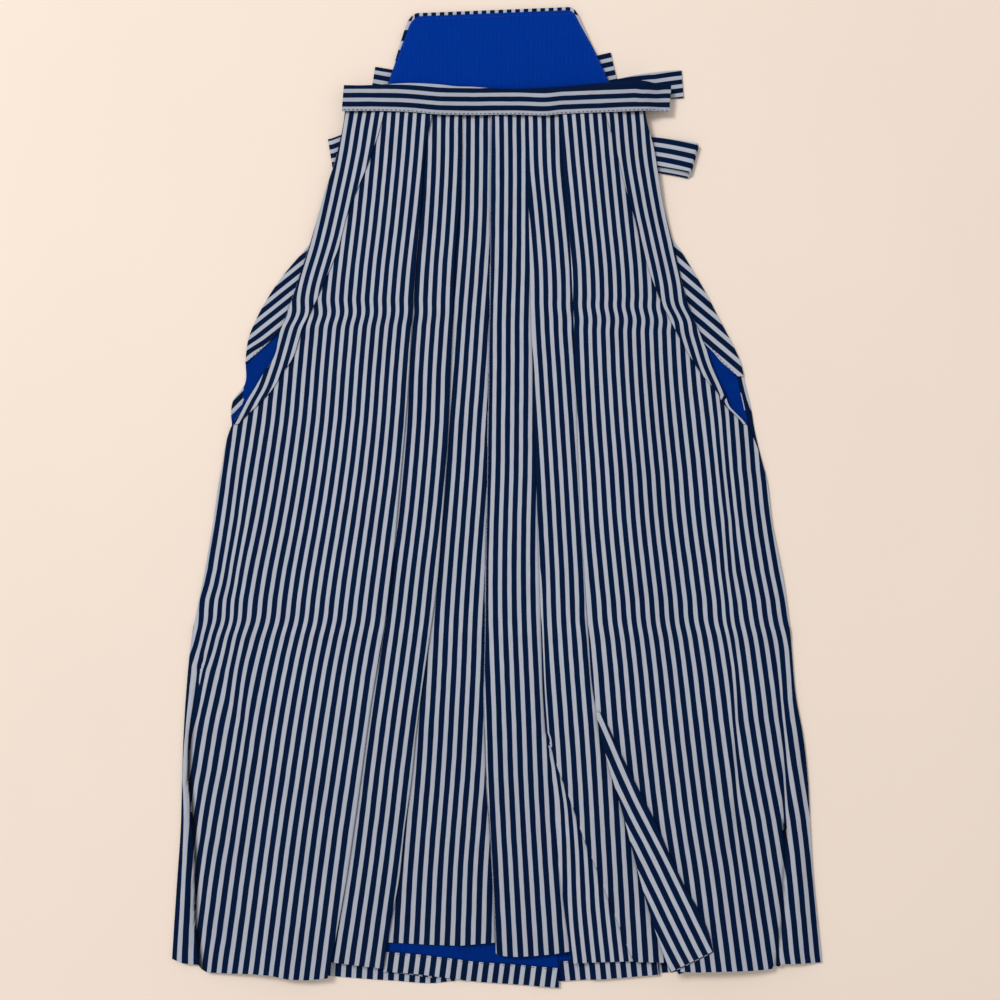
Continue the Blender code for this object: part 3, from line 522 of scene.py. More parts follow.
def side_roll(x, y):
    """The soft roll of cloth along each side seam and the valley inside it."""
    height, strength = 0.0, fade(ROLL_FULL, ROLL_START, y)
    for side, table in (("left_side", VALLEY_LEFT), ("right_side", VALLEY_RIGHT)):
        edge, valley = section(side, y), down(table, y)
        half, beside = np.abs(valley - edge) / 2, np.abs(x - valley)
        height = (height + ROLL_HEIGHT * strength * fade(0, half, np.abs(x - (edge + valley) / 2))
                  - VALLEY_DEPTH * strength * fade(0, VALLEY_HALF, beside)
                  - VALLEY_LINE * step(-140, -190, y) * fade(0, VALLEY_LINE_HALF, beside))
    return height


def valley_shade(x, y):
    """Painted shade: how much of the light the bottoms of the two valleys lose, and a little the
    lower cloth, which is darker towards the hem.
    """
    left, right = x - down(VALLEY_LEFT, y), x - down(VALLEY_RIGHT, y)
    tuck = step(-318, -326, y) * fade(-334, -346, y)        # painted shade where the fold swallows a stripe
    painted_shade = (0.95 * fade(0.8, 5.5, left) * fade(0.8, 2.6, -left) * step(-212, -250, y)
            + 0.5 * fade(0.6, 2.4, np.abs(right)) * step(-320, -345, y)
            + 0.8 * tuck * fade(1.6, 3.4, np.abs(right + 0.3)))
    return np.maximum(np.minimum(painted_shade, 0.95), 0.06 * step(-150, -330, y))


def pleat_depth(y):
    return 12 + 22 * step(390, -300, y)


def right_lift(y):
    return fade(FAN_FULL, FAN_TOP, y)


def right_edge(y):
    return np.where(y > RIGHT_PLEAT[0][0], section("edge_4", y), down(RIGHT_PLEAT, y))


def front_height(x, y, layer):
    return base(x, y) + layer * PITCH + puff(x, y)


def main_height(side, x, y):
    """The wide panel on one side, from the top of the pleats' stack down to the side seam."""
    if side == "left":
        stack = section("edge_1", y) - pleat_depth(y)
        layer = 4 * fade(stack - 8, stack - 76, x)
    else:
        stack = section("edge_5", y) + pleat_depth(y)
        layer = (6 + right_lift(y)) * fade(stack + 8, stack + 88, x)
    return np.maximum(front_height(x, y, layer) + side_roll(x, y), LOWEST)


# ---- cloth laid in folds ------------------------------------------------------------------------

def run(start, end, height, hem, count, striping=None, fine=0.0):
    """One run of cloth across a section: where it starts and ends, its height, its hem, how many
    points it has and its stripes, which otherwise go on round the fold. The hem is two heights, or
    a table and the stretch of it. Where fine is a share of the width, a quarter of the points lie
    in it, beside the start."""
    shares = np.linspace(0, 1, count)
    if fine:
        quarter = count // 4
        shares = np.concatenate((np.linspace(0, fine, quarter, endpoint=False),
                                 np.linspace(fine, 1, count - quarter)))
    *table, first, last = hem
    foot = first + (last - first) * shares[None, :]
    return {"start": start, "end": end, "height": height, "shares": shares[None, :],
            "foot": level(table[0], foot) if table else foot, "stripes": striping}


def turned(before, after, outward):
    """Three points on the half circle that joins the ends of two layers."""
    made = []
    for angle in (np.pi / 4, np.pi / 2, 3 * np.pi / 4):
        point = before + (after - before) * (1 - np.cos(angle)) / 2
        point[:, 0] = (before[:, 0] + after[:, 0]) / 2 + outward * PITCH / 2 * np.sin(angle)
        made.append(point)
    return np.stack(made, axis=1)


def lay_folds(runs, heights):
    """Points and stripe counts of a sheet in folds, a row for each height. A half circle turns the
    cloth from each run onto the next, and the lowest rows bend to each run's own hem."""
    radius = PITCH / 2
    bend = step(heights[-1] + HEM_REACH, heights[-1], heights)[:, None]
    points, counts = [], []
    for number, one in enumerate(runs):
        y = heights[:, None] + (one["foot"] - heights[-1]) * bend
        start, end = one["start"](y), one["end"](y)
        heading = np.sign(end - start)
        start = start + heading * radius * (number > 0)
        end = end - heading * radius * (number < len(runs) - 1)
        x = start + (end - start) * one["shares"]
        here = np.stack((x, y, one["height"](x, y)), axis=2)
        if one["stripes"]:
            count = one["stripes"](x, y)
        else:
            count = counts[-1][:, -1:] + np.abs(x - x[:, :1]) / THREAD_PITCH
        if number > 0:
            last = counts[-1][:, -1:]
            points.append(turned(points[-1][:, -1], here[:, 0], -heading[:, 0]))
            counts.append(last - heading[:, :1] * radius / THREAD_PITCH * np.array((0.7, 1.4, 2.1)))
        points.append(here)
        counts.append(count)
    return np.concatenate(points, axis=1), np.concatenate(counts, axis=1)


def wall_sides(rows, thickness, across):
    """The two surfaces of a wall of cloth to both sides of a grid of points."""
    across = np.array(across, float)
    runs = np.diff(rows, axis=1)
    runs = runs - (runs @ across)[..., None] * across
    normals = np.cross(across, runs)
    normals /= np.linalg.norm(normals, axis=2)[..., None]
    before, after = normals[:, :-1], normals[:, 1:]
    corners = (before + after) / (1 + np.sum(before * after, axis=2))[..., None]
    offsets = np.concatenate((normals[:, :1], corners, normals[:, -1:]), axis=1) * thickness / 2
    return rows + offsets, rows - offsets


def placed(name, data):
    """A new object of the scene at the origin."""
    made = bpy.data.objects.new(name, data)
    bpy.context.scene.collection.objects.link(made)
    return made


def shell(name, first, second, materials, counts, lengths, reverse=None, face_first=True,
          flip=False, wrapped=0, shade=None):
    """A closed mesh between two grids of the same size. Its faces have the first material, but
    those of the grid away from the face have the numbers in reverse. The UV map holds counts and
    lengths. In the first columns, as many as wrapped says, a count that jumps by whole stripes from
    one corner of a face to the next does not. Shade is the share of light each point loses."""
    rows, width = first.shape[:2]
    points = (np.concatenate((first.reshape(-1, 3), second.reshape(-1, 3))) + CENTRING) * MM
    index = np.arange(rows * width).reshape(rows, width)
    squares = np.stack((index[:-1, :-1], index[:-1, 1:], index[1:, 1:], index[1:, :-1]), axis=2)
    upper = squares.reshape(-1, 4)
    faces = [upper, upper[:, ::-1] + rows * width]
    for line in (index[:, 0], index[::-1, -1], index[0, ::-1], index[-1]):
        far = line + rows * width
        faces.append(np.stack((line[:-1], line[1:], far[1:], far[:-1]), axis=1))
    faces = np.concatenate(faces)
    if flip:
        faces = faces[:, ::-1]
    slots = np.zeros(len(faces), np.int32)
    if reverse is not None:
        start = len(upper) if face_first else 0
        slots[start:start + len(upper)] = reverse.ravel()
    mesh = bpy.data.meshes.new(name)
    mesh.from_pydata(points.tolist(), [], faces.tolist())
    for material in materials:
        mesh.materials.append(material)
    mesh.polygons.foreach_set("material_index", slots)
    corners = np.concatenate((np.stack((counts, lengths), axis=2).reshape(-1, 2),) * 2)
    used = np.zeros(len(mesh.loops), np.int32)
    mesh.loops.foreach_get("vertex_index", used)
    places = corners[used].reshape(-1, 4, 2)
    if wrapped:
        held = np.tile(np.arange(width - 1) < wrapped, 2 * (rows - 1))
        jumps = np.round(places[:len(held), :, 0] - places[:len(held), :1, 0])
        places[:len(held), :, 0] -= jumps * held[:, None]
    layer = mesh.uv_layers.new(name="cloth")
    layer.data.foreach_set("uv", places.astype(np.float32).ravel())
    if shade is not None:
        painted_shade = mesh.attributes.new("shade", "FLOAT", "POINT")
        painted_shade.data.foreach_set("value", np.tile(np.ravel(shade), 2).astype(np.float32))
    mesh.shade_smooth()
    mesh.set_sharp_from_angle(angle=np.radians(50))
    mesh.update()
    return placed(name, mesh)


def lengths_down(rows):
    """How far down the cloth each point is, in stripes' widths."""
    steps = np.linalg.norm(np.diff(rows, axis=0), axis=2) / THREAD_PITCH
    return np.concatenate((np.zeros((1, rows.shape[1])), np.cumsum(steps, axis=0)))


def settle(piece, slot, rows=None, node=None, held="laid", rests_on=(), with_pieces=()):
    """Lets a finished piece ride on the root and stand for its node, whose solid it hides; its slot
    is not used.
    """
    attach(piece, "root")
    if node:
        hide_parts(node)


# ---- materials ----------------------------------------------------------------------------------

def linear(code):
    """A #rrggbb colour as linear red, green and blue."""
    values = [int(code[n:n + 2], 16) / 255 for n in (1, 3, 5)]
    return tuple(v / 12.92 if v <= 0.04045 else ((v + 0.055) / 1.055) ** 2.4 for v in values)


def add(tree, kind, inputs=(), **settings):
    """Adds a node with its settings. Each input, by name or in order, is a value, another node's
    output, or a node, which gives its first output."""
    made = tree.nodes.new(kind)
    for name, value in settings.items():
        setattr(made, name, value)
    for name, value in inputs.items() if isinstance(inputs, dict) else enumerate(inputs):
        if isinstance(value, bpy.types.Node):
            value = value.outputs[0]
        if isinstance(value, bpy.types.NodeSocket):
            tree.links.new(value, made.inputs[name])
        else:
            made.inputs[name].default_value = value
    return made


def blank(name, surface):
    """An empty material, its tree and its shader with these values of its surface."""
    material = bpy.data.materials.new(name)
    material.use_nodes = True
    shader = material.node_tree.nodes["Principled BSDF"]
    for socket, value in surface.items():
        shader.inputs[socket].default_value = value
    return material, material.node_tree, shader


def tinted(tree, shader, colour, *factors):
    """Gives the shader a colour, multiplied by factors."""
    for factor in factors:
        colour = add(tree, "ShaderNodeVectorMath", (colour, factor), operation="MULTIPLY")
    tree.links.new(colour.outputs[0], shader.inputs["Base Color"])


def woven(tree, shader, cloth, pattern, scale, brightest, depth):
    """The woven cloth's surface: the pattern's colour toned from thread to thread, darkened by
    painted shade from ambient occlusion in the gaps between layers and by painted shade from the
    piece's own shade attribute in the deep valleys, over the bump of a plain weave and of long soft
    unevenness."""
    yarn = add(tree, "ShaderNodeMapping", {"Vector": cloth, "Scale": scale})
    yarn = add(tree, "ShaderNodeTexNoise", {"Vector": yarn, "Scale": 1.0, "Detail": 2.0},
               noise_dimensions="2D")
    tone = add(tree, "ShaderNodeMapRange", {"Value": yarn, "From Min": 0.25, "From Max": 0.75,
                                            "To Min": 0.9, "To Max": brightest})
    # Painted shade: the colour darkens where other cloth lies within 7 mm, and by the share of
    # light that the piece's shade attribute takes.
    occlusion = add(tree, "ShaderNodeAmbientOcclusion", {"Distance": 0.007}, samples=6)
    share = add(tree, "ShaderNodeMapRange", {"Value": occlusion.outputs["AO"], "From Min": 0.15,
                                             "From Max": 0.85, "To Min": 0.3, "To Max": 1.0})
    painted_shade = add(tree, "ShaderNodeAttribute", attribute_name="shade")
    kept = add(tree, "ShaderNodeMath", (1.0, painted_shade.outputs["Fac"]), operation="SUBTRACT")
    share = add(tree, "ShaderNodeMath", (share, kept), operation="MULTIPLY")
    tinted(tree, shader, pattern, tone, share)
    parts = add(tree, "ShaderNodeSeparateXYZ", (cloth,)).outputs
    threads = []
    for along in (parts[0], parts[1]):
        angle = add(tree, "ShaderNodeMath", (along, THREADS * 2 * np.pi), operation="MULTIPLY")
        threads.append(add(tree, "ShaderNodeMath", (angle,), operation="SINE"))
    weave = add(tree, "ShaderNodeMath", threads, operation="MULTIPLY")
    place = add(tree, "ShaderNodeTexCoord")
    # Long soft unevenness, about 25 mm across and 80 mm down the garment.
    stretch = add(tree, "ShaderNodeMapping", {"Vector": place.outputs["Object"],
                                              "Scale": (38.0, 12.0, 38.0)})
    soft = add(tree, "ShaderNodeTexNoise", {"Vector": stretch, "Scale": 1.0, "Detail": 3.0,
                                            "Roughness": 0.5})
    bump = add(tree, "ShaderNodeBump", {"Height": soft, "Distance": 0.0022, "Strength": 0.6})
    bump = add(tree, "ShaderNodeBump", {"Height": weave, "Distance": depth, "Strength": 0.5,
                                        "Normal": bump})
    tree.links.new(bump.outputs[0], shader.inputs["Normal"])


def striped_cloth(name, look):
    """Striped polyester woven of dyed yarn: crisp stripes, small changes from thread to thread, a
    dull surface with a little sheen."""
    material, tree, shader = blank(name, {"Roughness": 0.75, "Sheen Weight": 0.01,
                                          "Sheen Roughness": 0.45, "Specular IOR Level": 0.05})
    cloth = add(tree, "ShaderNodeUVMap", uv_map="cloth")
    parts = add(tree, "ShaderNodeSeparateXYZ", (cloth,))
    # A thread strays from its line by up to 0.2 mm over some centimetres.
    stray = add(tree, "ShaderNodeMapping", {"Vector": cloth, "Scale": (1.0, 0.35, 1.0)})
    stray = add(tree, "ShaderNodeTexNoise", {"Vector": stray, "Scale": 1.2, "Detail": 2.0},
                noise_dimensions="2D")
    stray = add(tree, "ShaderNodeMapRange", {"Value": stray, "To Min": -0.03, "To Max": 0.03})
    place = add(tree, "ShaderNodeMath", (parts, stray), operation="ADD")
    place = add(tree, "ShaderNodeMath", (place, 0.25), operation="SUBTRACT")
    beside = add(tree, "ShaderNodeMath", (place, 0.5), operation="PINGPONG")
    is_light = add(tree, "ShaderNodeMapRange",
                   {"Value": beside, "From Min": look.light_share / 2 - 0.02,
                    "From Max": look.light_share / 2 + 0.02, "To Min": 1.0, "To Max": 0.0},
                   interpolation_type="SMOOTHSTEP")
    mixed = add(tree, "ShaderNodeMix", {0: is_light, 6: (*look.navy, 1), 7: (*look.light, 1)},
                data_type="RGBA")
    # Threads 0.6 mm apart, drawn coarser than real so that they show: each has its own tone.
    woven(tree, shader, cloth, mixed.outputs[2], (15.0, 0.5, 1.0), 1.08, 0.00006)
    return material


def blue_cloth(name, colour):
    """Plain royal blue polyester, the striped cloth's reverse or the plate's lining: smoother, with
    the stripes just showing through as darker lines."""
    material, tree, shader = blank(name, {"Roughness": 0.7, "Sheen Weight": 0.01,
                                          "Sheen Roughness": 0.4, "Specular IOR Level": 0.06,
                                          "Specular Tint": BLUE_SHEEN, "Sheen Tint": BLUE_SHEEN})
    cloth = add(tree, "ShaderNodeUVMap", uv_map="cloth")
    parts = add(tree, "ShaderNodeSeparateXYZ", (cloth,))
    beside = add(tree, "ShaderNodeMath", (parts, 0.25), operation="PINGPONG")
    lines = add(tree, "ShaderNodeMapRange", {"Value": beside, "From Min": 0.0, "From Max": 0.06,
                                             "To Min": 0.82, "To Max": 1.0},
                interpolation_type="SMOOTHSTEP")
    lined = add(tree, "ShaderNodeVectorMath", (tuple(colour), lines), operation="MULTIPLY")
    woven(tree, shader, cloth, lined, (13.0, 0.6, 1.0), 1.1, 0.00005)
    return material


def sewing_thread(name, colour):
    """Spun polyester sewing thread: dull, twisted and a little uneven in tone."""
    material, tree, shader = blank(name, {"Roughness": 0.6})
    place = add(tree, "ShaderNodeTexCoord")
    twist = add(tree, "ShaderNodeTexWave", {"Vector": place.outputs["Object"], "Scale": 900.0,
                                            "Distortion": 1.0})
    tone = add(tree, "ShaderNodeMapRange", {"Value": twist.outputs["Fac"], "To Min": 0.75,
                                            "To Max": 1.1})
    tinted(tree, shader, tuple(colour), tone)
    return material


def pale_floor(name, colour):
    """A matt, pale, smooth sheet floor with a very faint cloudiness."""
    material, tree, shader = blank(name, {"Roughness": 0.85, "Specular IOR Level": 0.2})
    place = add(tree, "ShaderNodeTexCoord")
    cloud = add(tree, "ShaderNodeTexNoise", {"Vector": place.outputs["Object"], "Scale": 3.0,
                                             "Detail": 4.0})
    tone = add(tree, "ShaderNodeMapRange", {"Value": cloud, "From Min": 0.3, "From Max": 0.7,
                                            "To Min": 0.985, "To Max": 1.01})
    tinted(tree, shader, tuple(colour), tone)
    return material


def finish_of(name, make, look):
    """A material by name, made the first time it is asked for."""
    return bpy.data.materials.get(name) or make(name, look)


def cloths(look):
    return [finish_of("striped_woven_polyester", striped_cloth, look),
            finish_of("royal_blue_woven_polyester", blue_cloth, look.blue)]


# ---- settings -----------------------------------------------------------------------------------

def colour(name, description, code):
    return FloatVectorProperty(name=name, description=description, subtype="COLOR", size=3, min=0,
                               max=1, default=linear(code))


def amount(name, description, low, high, value, **more):
    return FloatProperty(name=name, description=description, min=low, max=high, default=value,
                         **more)


class ClothSettings(bpy.types.PropertyGroup):
    navy: colour("Navy", "Colour of the dark stripes", "#001638")
    light: colour("Light Grey", "Colour of the light stripes", "#b1b5c1")
    blue: colour("Royal Blue", "Colour of the cloth's reverse", "#00297a")
    lining: colour("Lining Blue", "Colour of the back plate's lining", "#003090")
    light_share: amount("Light Share", "Share of a stripe's pitch that is light", 0.2, 0.8, 0.43,
                        subtype="FACTOR")
    row_step: amount("Row Step", "Height of one row of faces, in millimetres", 1.5, 12.0, 3.7)


class SewingSettings(bpy.types.PropertyGroup):
    stitch_length: amount("Stitch Length", "Length of one stitch", 0.001, 0.01, 0.0026,
                          unit="LENGTH")
    stitch_spacing: amount("Stitch Spacing", "From one stitch to the next", 0.0015, 0.02, 0.0042,
                           unit="LENGTH")
    thread_width: amount("Thread Width", "Thickness of the thread", 0.0002, 0.002, 0.0006,
                         unit="LENGTH")
    sides: IntProperty(name="Thread Sides", description="Faces round a stitch", min=4, max=12,
                       default=6)


class StageSettings(bpy.types.PropertyGroup):
    camera_height: amount("Camera Height", "Height over the floor", 0.5, 5.0, 1.6, unit="LENGTH")
    view_width: amount("View Width", "Width of the floor that the view takes in", 0.5, 3.0, 1.0,
                       unit="LENGTH")
    floor: colour("Floor", "Colour of the floor", "#f4e3d4")
    window_size: amount("Window Size", "Width of the large soft light", 0.1, 5.0, 1.4,
                        unit="LENGTH")
    window_power: amount("Window Light", "Power of the large soft light", 0, 1000, 150.0,
                         unit="POWER")
    sky: amount("Room Light", "Strength of the even light of the room", 0, 3, 0.55)


# ---- pieces -------------------------------------------------------------------------------------

def rows_between(*stretches):
    """The heights of rows, down one stretch after another: each one's top, foot and rows' size."""
    return np.concatenate([np.linspace(top, foot, int(round((top - foot) / size)) + 1)
                           for top, foot, size in stretches])


def edge(name, back=0.0):
    """The line of a pleat's edge, or the line so many of its depths away from it."""
    return lambda y: section(name, y) + back * pleat_depth(y)


def lying(layer, lift=0.0):
    """The height of a layer of the front, which also rises by the lift where the fan is shut."""
    return lambda x, y: front_height(x, y, layer + lift * right_lift(y))


def front_left_rows(size):
    """The main panel, two pleats that step down to the inner panel, and the centre over it."""
    return lay_folds((
        run(partial(seam, "left"), edge("edge_1"), partial(main_height, "left"),
            (HEM_MAIN_LEFT, -326, -167), MAIN_POINTS["left"], partial(stripes, "main_left"), 0.2),
        run(edge("edge_1"), edge("edge_1", -1), lying(3), (-478, -462), 4),
        run(edge("edge_1", -1), edge("edge_2"), lying(2), (HEM_STRIP, -201, -111), 26,
            partial(stripes, "strip")),
        run(edge("edge_2"), edge("edge_2", -1), lying(1), (-469, -443.5), 4),
        run(edge("edge_2", -1), edge("edge_3", 0.8), lying(0), (HEM_INNER, -145, 26), 36,
            partial(stripes, "inner")),
        run(edge("edge_3", 0.8), edge("edge_3"), lying(1), (-443.5, -454), 4),
        run(edge("edge_3"), lambda y: section("edge_4", y) + 18, lying(2), (HEM_CENTRE, -1, 92),
            24, partial(stripes, "centre")),
    ), rows_between((FRONT_TOP, FRONT_FOOT, size)))


def front_right_rows(size):
    """The main panel and one wide pleat that lies over the centre."""
    return lay_folds((
        run(partial(seam, "right"), edge("edge_5"), partial(main_height, "right"),
            (HEM_MAIN_RIGHT, 326, 179), MAIN_POINTS["right"], partial(stripes, "main_right"), 0.3),
        run(edge("edge_5"), edge("edge_5", 1), lying(5, 1), (-473, -462), 4),
        run(edge("edge_5", 1), right_edge, lying(4, 1), (HEM_RIGHT, 213, 137), 34,
            partial(stripes, "right_pleat")),
        run(right_edge, lambda y: right_edge(y) + 0.9 * pleat_depth(y), lying(3, 1),
            (-461, -461), 5),
    ), rows_between((FRONT_TOP, FRONT_FOOT, size)))


def inner_pleat_rows(size):
    """The fold inside the right pleat, where that opens like a fan towards the hem."""
    heights = rows_between((FAN_START, FAN_FOOT, size))[:, None]
    opening = step(-238, -252, heights) * fade(-268, -290, heights)
    start = section("edge_4", heights) + 0.5 + 1.9 * opening
    end = right_edge(heights) + 0.5 * pleat_depth(heights)
    x = start + (end - start) * np.linspace(0, 1, 28)[None, :]
    y = heights + (level(HEM_FAN, x) - FAN_FOOT) * step(-345, FAN_FOOT, heights)
    counts = (x - 0.6 * opening - down(FAN_STRIPES, y)) / level(FAN_STRIPES, y, 2)
    # The outermost light stripe is wider and the dark one beside it reaches the edge.
    counts = np.where(counts < -1.54, -1.54 + (counts + 1.54) * level(FAN_OUTERMOST, y), counts)
    return np.stack((x, y, front_height(x, y, 3)), axis=2), counts


def side_fold_rows(side, size):
    """The narrow fold of the front beside an opening, flat on the main panel."""
    heights = rows_between((FRONT_TOP, 132, size), (130, 75, 2.2))[:, None]
    start = seam(side, heights) + 0.4 * INWARD[side]
    if side == "right":
        start = start + level(SIDE_HOOK, heights)
    width = level(SIDE_FOLD, heights, COLUMN[side])
    x = start + INWARD[side] * width * np.linspace(0, 1, 20)[None, :]
    y = heights + 0 * x
    counts = (x - crease_shift(x, y) - down(FOLD_STRIPES[side], y)) / FOLD_PITCH
    if side == "right":     # at its foot a light stripe turns along the edge
        along = 3.46 - (start - x) / 6.2
        counts = counts + (along - counts) * fade(98, 104, y)
    return np.stack((x, y, main_height(side, x, y) + PITCH), axis=2), counts


def sprung_pleat_rows(size):
    """The pleat that has sprung out on the right: a flat loop of cloth, open underneath."""
    ys = np.array([row[0] for row in FLAP], float)
    heights = rows_between((FLAP[0][0], FLAP[-1][0], size))
    number = np.interp(-heights, -ys, np.arange(len(ys)))
    foot = step(len(ys) - 4, len(ys) - 1, number)
    left, right = down(FLAP, heights), down(FLAP, heights, 2)

    def points(start, end, count, layer):
        x = start[:, None] + (end - start)[:, None] * np.linspace(0, 1, count)[None, :]
        share = (x - left[:, None]) / (right - left)[:, None]
        y = heights[:, None] + foot[:, None] * (20.5 * share - 3.5)
        y = y - (1.5 if layer == 1 else 0.0) * step(-440, FLAP[-1][0], heights)[:, None]
        lift = main_height("right", np.maximum(x, section("edge_5", y) + 6), y)
        return np.stack((x, y, lift + layer * PITCH), axis=2)

    radius = PITCH / 2
    middle = (left + right) / 2
    under_right = points(middle + 0.6, right - radius, 4, 1)
    over = points(right - radius, left + radius, 22, 2)
    under_left = points(left + radius, middle - 0.6, 4, 1)
    rows = np.concatenate((under_right, turned(under_right[:, -1], over[:, 0], 1), over,
                           turned(over[:, -1], under_left[:, 0], -1), under_left), axis=1)
    counts = (rows[..., 0] - down(FLAP_STRIPES, rows[..., 1])) / FLAP_PITCH
    counts[:, :4] += 0.5
    counts[:, -4:] += 0.5
    return rows, counts


def back_side(side, y):
    return np.where(y < BACK_SIDE[-1][0], section(side + "_side", y),
                    down(BACK_SIDE, y, COLUMN[side]))


def back_rows(side, size):
    """One half of the back, flat on the floor, with a deep pleat and a lap at the middle."""
    left = side == "left"

    def pleat(y):
        return down(BACK_PLEAT, y, 1 if left else 3)

    def pleat_back(y):
        return pleat(y) - INWARD[side] * down(BACK_PLEAT, y, 2 if left else 4)

    def over_height(x, y):
        if left:
            lap = down(BACK_INNER, y, 2)
            over = 2 * fade(pleat(y) + 4, pleat(y) + 14, x) + step(lap - 9, lap - 1, x)
        else:
            over = 2 * step(pleat(y) - 14, pleat(y) - 4, x)
        return CLOTH / 2 + over * PITCH

    outer_hem, turn_hem, inner_hem = BACK_HEMS[side]
    runs = (
        run(partial(back_side, side), pleat, lambda x, y: CLOTH / 2 + 0 * x, outer_hem,
            BACK_OUTER_POINTS, partial(hem_stripes, "under_left" if left else "right"), 0.07),
        run(pleat, pleat_back, lambda x, y: CLOTH / 2 + PITCH + 0 * x, turn_hem, 4),
        run(pleat_back, partial(down, BACK_INNER, number=COLUMN[side]), over_height, inner_hem,
            BACK_INNER_POINTS, partial(hem_stripes, side)),
    )
    return lay_folds(runs, rows_between((BACK_TOP, 150, size), (148, 62, 1.6),
                                        (58, BACK_FOOT, size)))


def shown_face(side, rows, counts):
    """Where a back panel's striped face shows on its upper side: the hem of its outer part, and
    what is turned over at the opening's lower end, whose stripes' counts are put in."""
    x, y = rows[..., 0], rows[..., 1]
    beside = np.abs(x - x[:, :1])
    if side == "left":
        shown = (x < -254.3) & (y < 114) & (y > 83.2 + (x + 265.5) * 1.047)
        marks = gore_stripes("corner", x, y)
    else:
        shown = (beside < level(BACK_EDGE, y)) & (y < 126) & (y > 32)
        marks = np.minimum(-0.54 + 0.12 * (beside - level(BACK_EDGE_LIGHT, y)), -0.3)
        marks = marks + 0.35 * np.clip(beside - 5.2, 0, 4) * step(84, 88, y) * fade(105, 109, y)
    near = (beside < 30) & (y < 146) & (y > 30)
    shown = shown | (y - y[-1] < HEM_TURN)
    shown[:, BACK_OUTER_POINTS:] = False
    return shown[1:, 1:], np.where(near, marks, counts)


def turned_hem_rows(side, rows):
    """The hem's turned-up edge on a back panel, one layer up from the panel's own lowest rows."""
    panel = rows[:, -BACK_INNER_POINTS:]
    made = []
    for rise in (0.4, 1.2, 4, 7, 10, 13, 16, 18.8, HEM_TURN):
        above = np.array([[np.interp(point[1] + rise, panel[::-1, n, 1], panel[::-1, n, axis])
                           for axis in range(3)] for n, point in enumerate(panel[-1])])
        swell = 0.25 * np.sin(np.pi * rise / HEM_TURN)
        made.append(above + np.array((0, 0, PITCH + swell)))
    made = np.array(made)[:, :36 if side == "right" else None]
    return made, hem_stripes(side, made[..., 0], made[..., 1])


def back_fold_rows(side, size):
    """The back's turned-over edge, which shows its face at the opening."""
    foot = 123 if side == "right" else 136
    heights = rows_between((BACK_TOP, 180, size), (178, foot, 2.0))[:, None]
    shares = np.linspace(0, 1, 14)[None, :]
    width = level(BACK_FOLD, heights, COLUMN[side])
    x = back_side(side, heights) + INWARD[side] * width * shares
    y = heights + 0 * x
    z = CLOTH / 2 + PITCH + 0.35 * np.sin(np.pi * shares) + 0 * x
    return np.stack((x, y, z), axis=2), gore_stripes(side, x, y)


def waistband_rows(fronts):
    """The front waistband: a strip folded over the pleats' top edges and closed along its top."""
    points = np.concatenate([rows[rows[..., 1] > BAND_LAP] for rows in fronts])
    xs = np.linspace(WAISTBAND_FOOT[0][0], WAISTBAND_FOOT[-1][0], 118)
    inner_z = BASE_WAIST - PITCH
    low_end = inner_z + 1.2 * PITCH
    heights = []
    for x in xs:
        under = points[np.abs(points[:, 0] - x) < WAISTBAND_REACH, 2]
        heights.append(under.max() + PITCH if len(under) else low_end)
    evened = np.convolve(np.pad(heights, 10, mode="edge"), np.ones(21) / 21, "valid")
    smooth = np.maximum(heights, evened)
    smooth = np.convolve(np.pad(smooth, 4, mode="edge"), np.ones(9) / 9, "valid")
    smooth = smooth + (low_end + 1 - smooth) * np.clip((xs - 150) / 14, 0, 1)
    rows, counts = [], []
    for x, z, bottom, top in zip(xs, smooth, down(WAISTBAND_FOOT, xs), down(WAISTBAND_TOP, xs)):
        shoulder = inner_z + (z - inner_z) * 0.72
        kink = sum(0.4 * fade(0, 3, abs(x - at)) for at in BAND_KINKS)
        line = [(bottom, z - 0.25), (bottom + 1.2, z + 0.1)]
        for s in (0.15, 0.3, 0.45, 0.6, 0.75, 0.9):
            bulge = 0.1 + 0.3 * np.sin(np.pi * s) + kink
            line.append((bottom + 1.2 + (top - bottom - 10.2) * s, z + bulge))
        line += [(top - 9, z), (top - 6, z - 0.1), (top - 3.2, z - 0.6 - (z - shoulder) * 0.3),
                 (top - 1.8, z - 0.7 - (z - shoulder) * 0.6), (top - 1.0, shoulder),
                 (top - 0.5, (shoulder + inner_z) / 2 + 0.3), (top - 1.2, inner_z + 0.7),
                 (top - 2.6, inner_z), (top - 9, inner_z), (bottom + 5, inner_z)]
        rows.append([(x + 2 * (y - bottom) / (top - bottom) - 1, y, height) for y, height in line])
        pitch = BAND_PITCH - 0.45 * fade(6, 16, abs(x - 152))
        most = 2.97 + 3.0 * fade(4, 12, x)      # on the right the last stripe stays light
        marks = [(y - bottom if n < 14 else 2 * top - y - bottom) / pitch
                 for n, (y, _) in enumerate(line)]
        counts.append([min(mark, most) if n < 16 else mark for n, mark in enumerate(marks)])
    return np.array(rows), np.array(counts)


SEAMS = {}      # the lines that the sewing follows, filled as the pieces are built


def seam_on(name, line, rise):
    """Keeps a line on a piece of cloth for the sewing."""
    SEAMS.setdefault(name, []).append(line + np.array((0, 0, rise)))


def build_cloth(name, slot, rows, counts, look, face_first, across=(0, 1, 0), striped=None,
                wrapped=0, shade=None, **declared):
    """A wall of cloth that stands for the solid of the same name: striped on its face and blue on
    its reverse, where striped, a grid of squares, doesn't say that its face is turned up."""
    first, second = wall_sides(rows, CLOTH, across)
    reverse = np.ones((rows.shape[0] - 1, rows.shape[1] - 1), np.int32)
    if striped is not None:
        reverse[striped] = 0
    flip = (rows[-1, 0] - rows[0, 0]) @ np.array(across, float) > 0
    piece = shell(name + "_cloth", first, second, cloths(look), counts, lengths_down(rows),
                  reverse, face_first, flip, wrapped, shade)
    settle(piece, slot, rows, name, **declared)


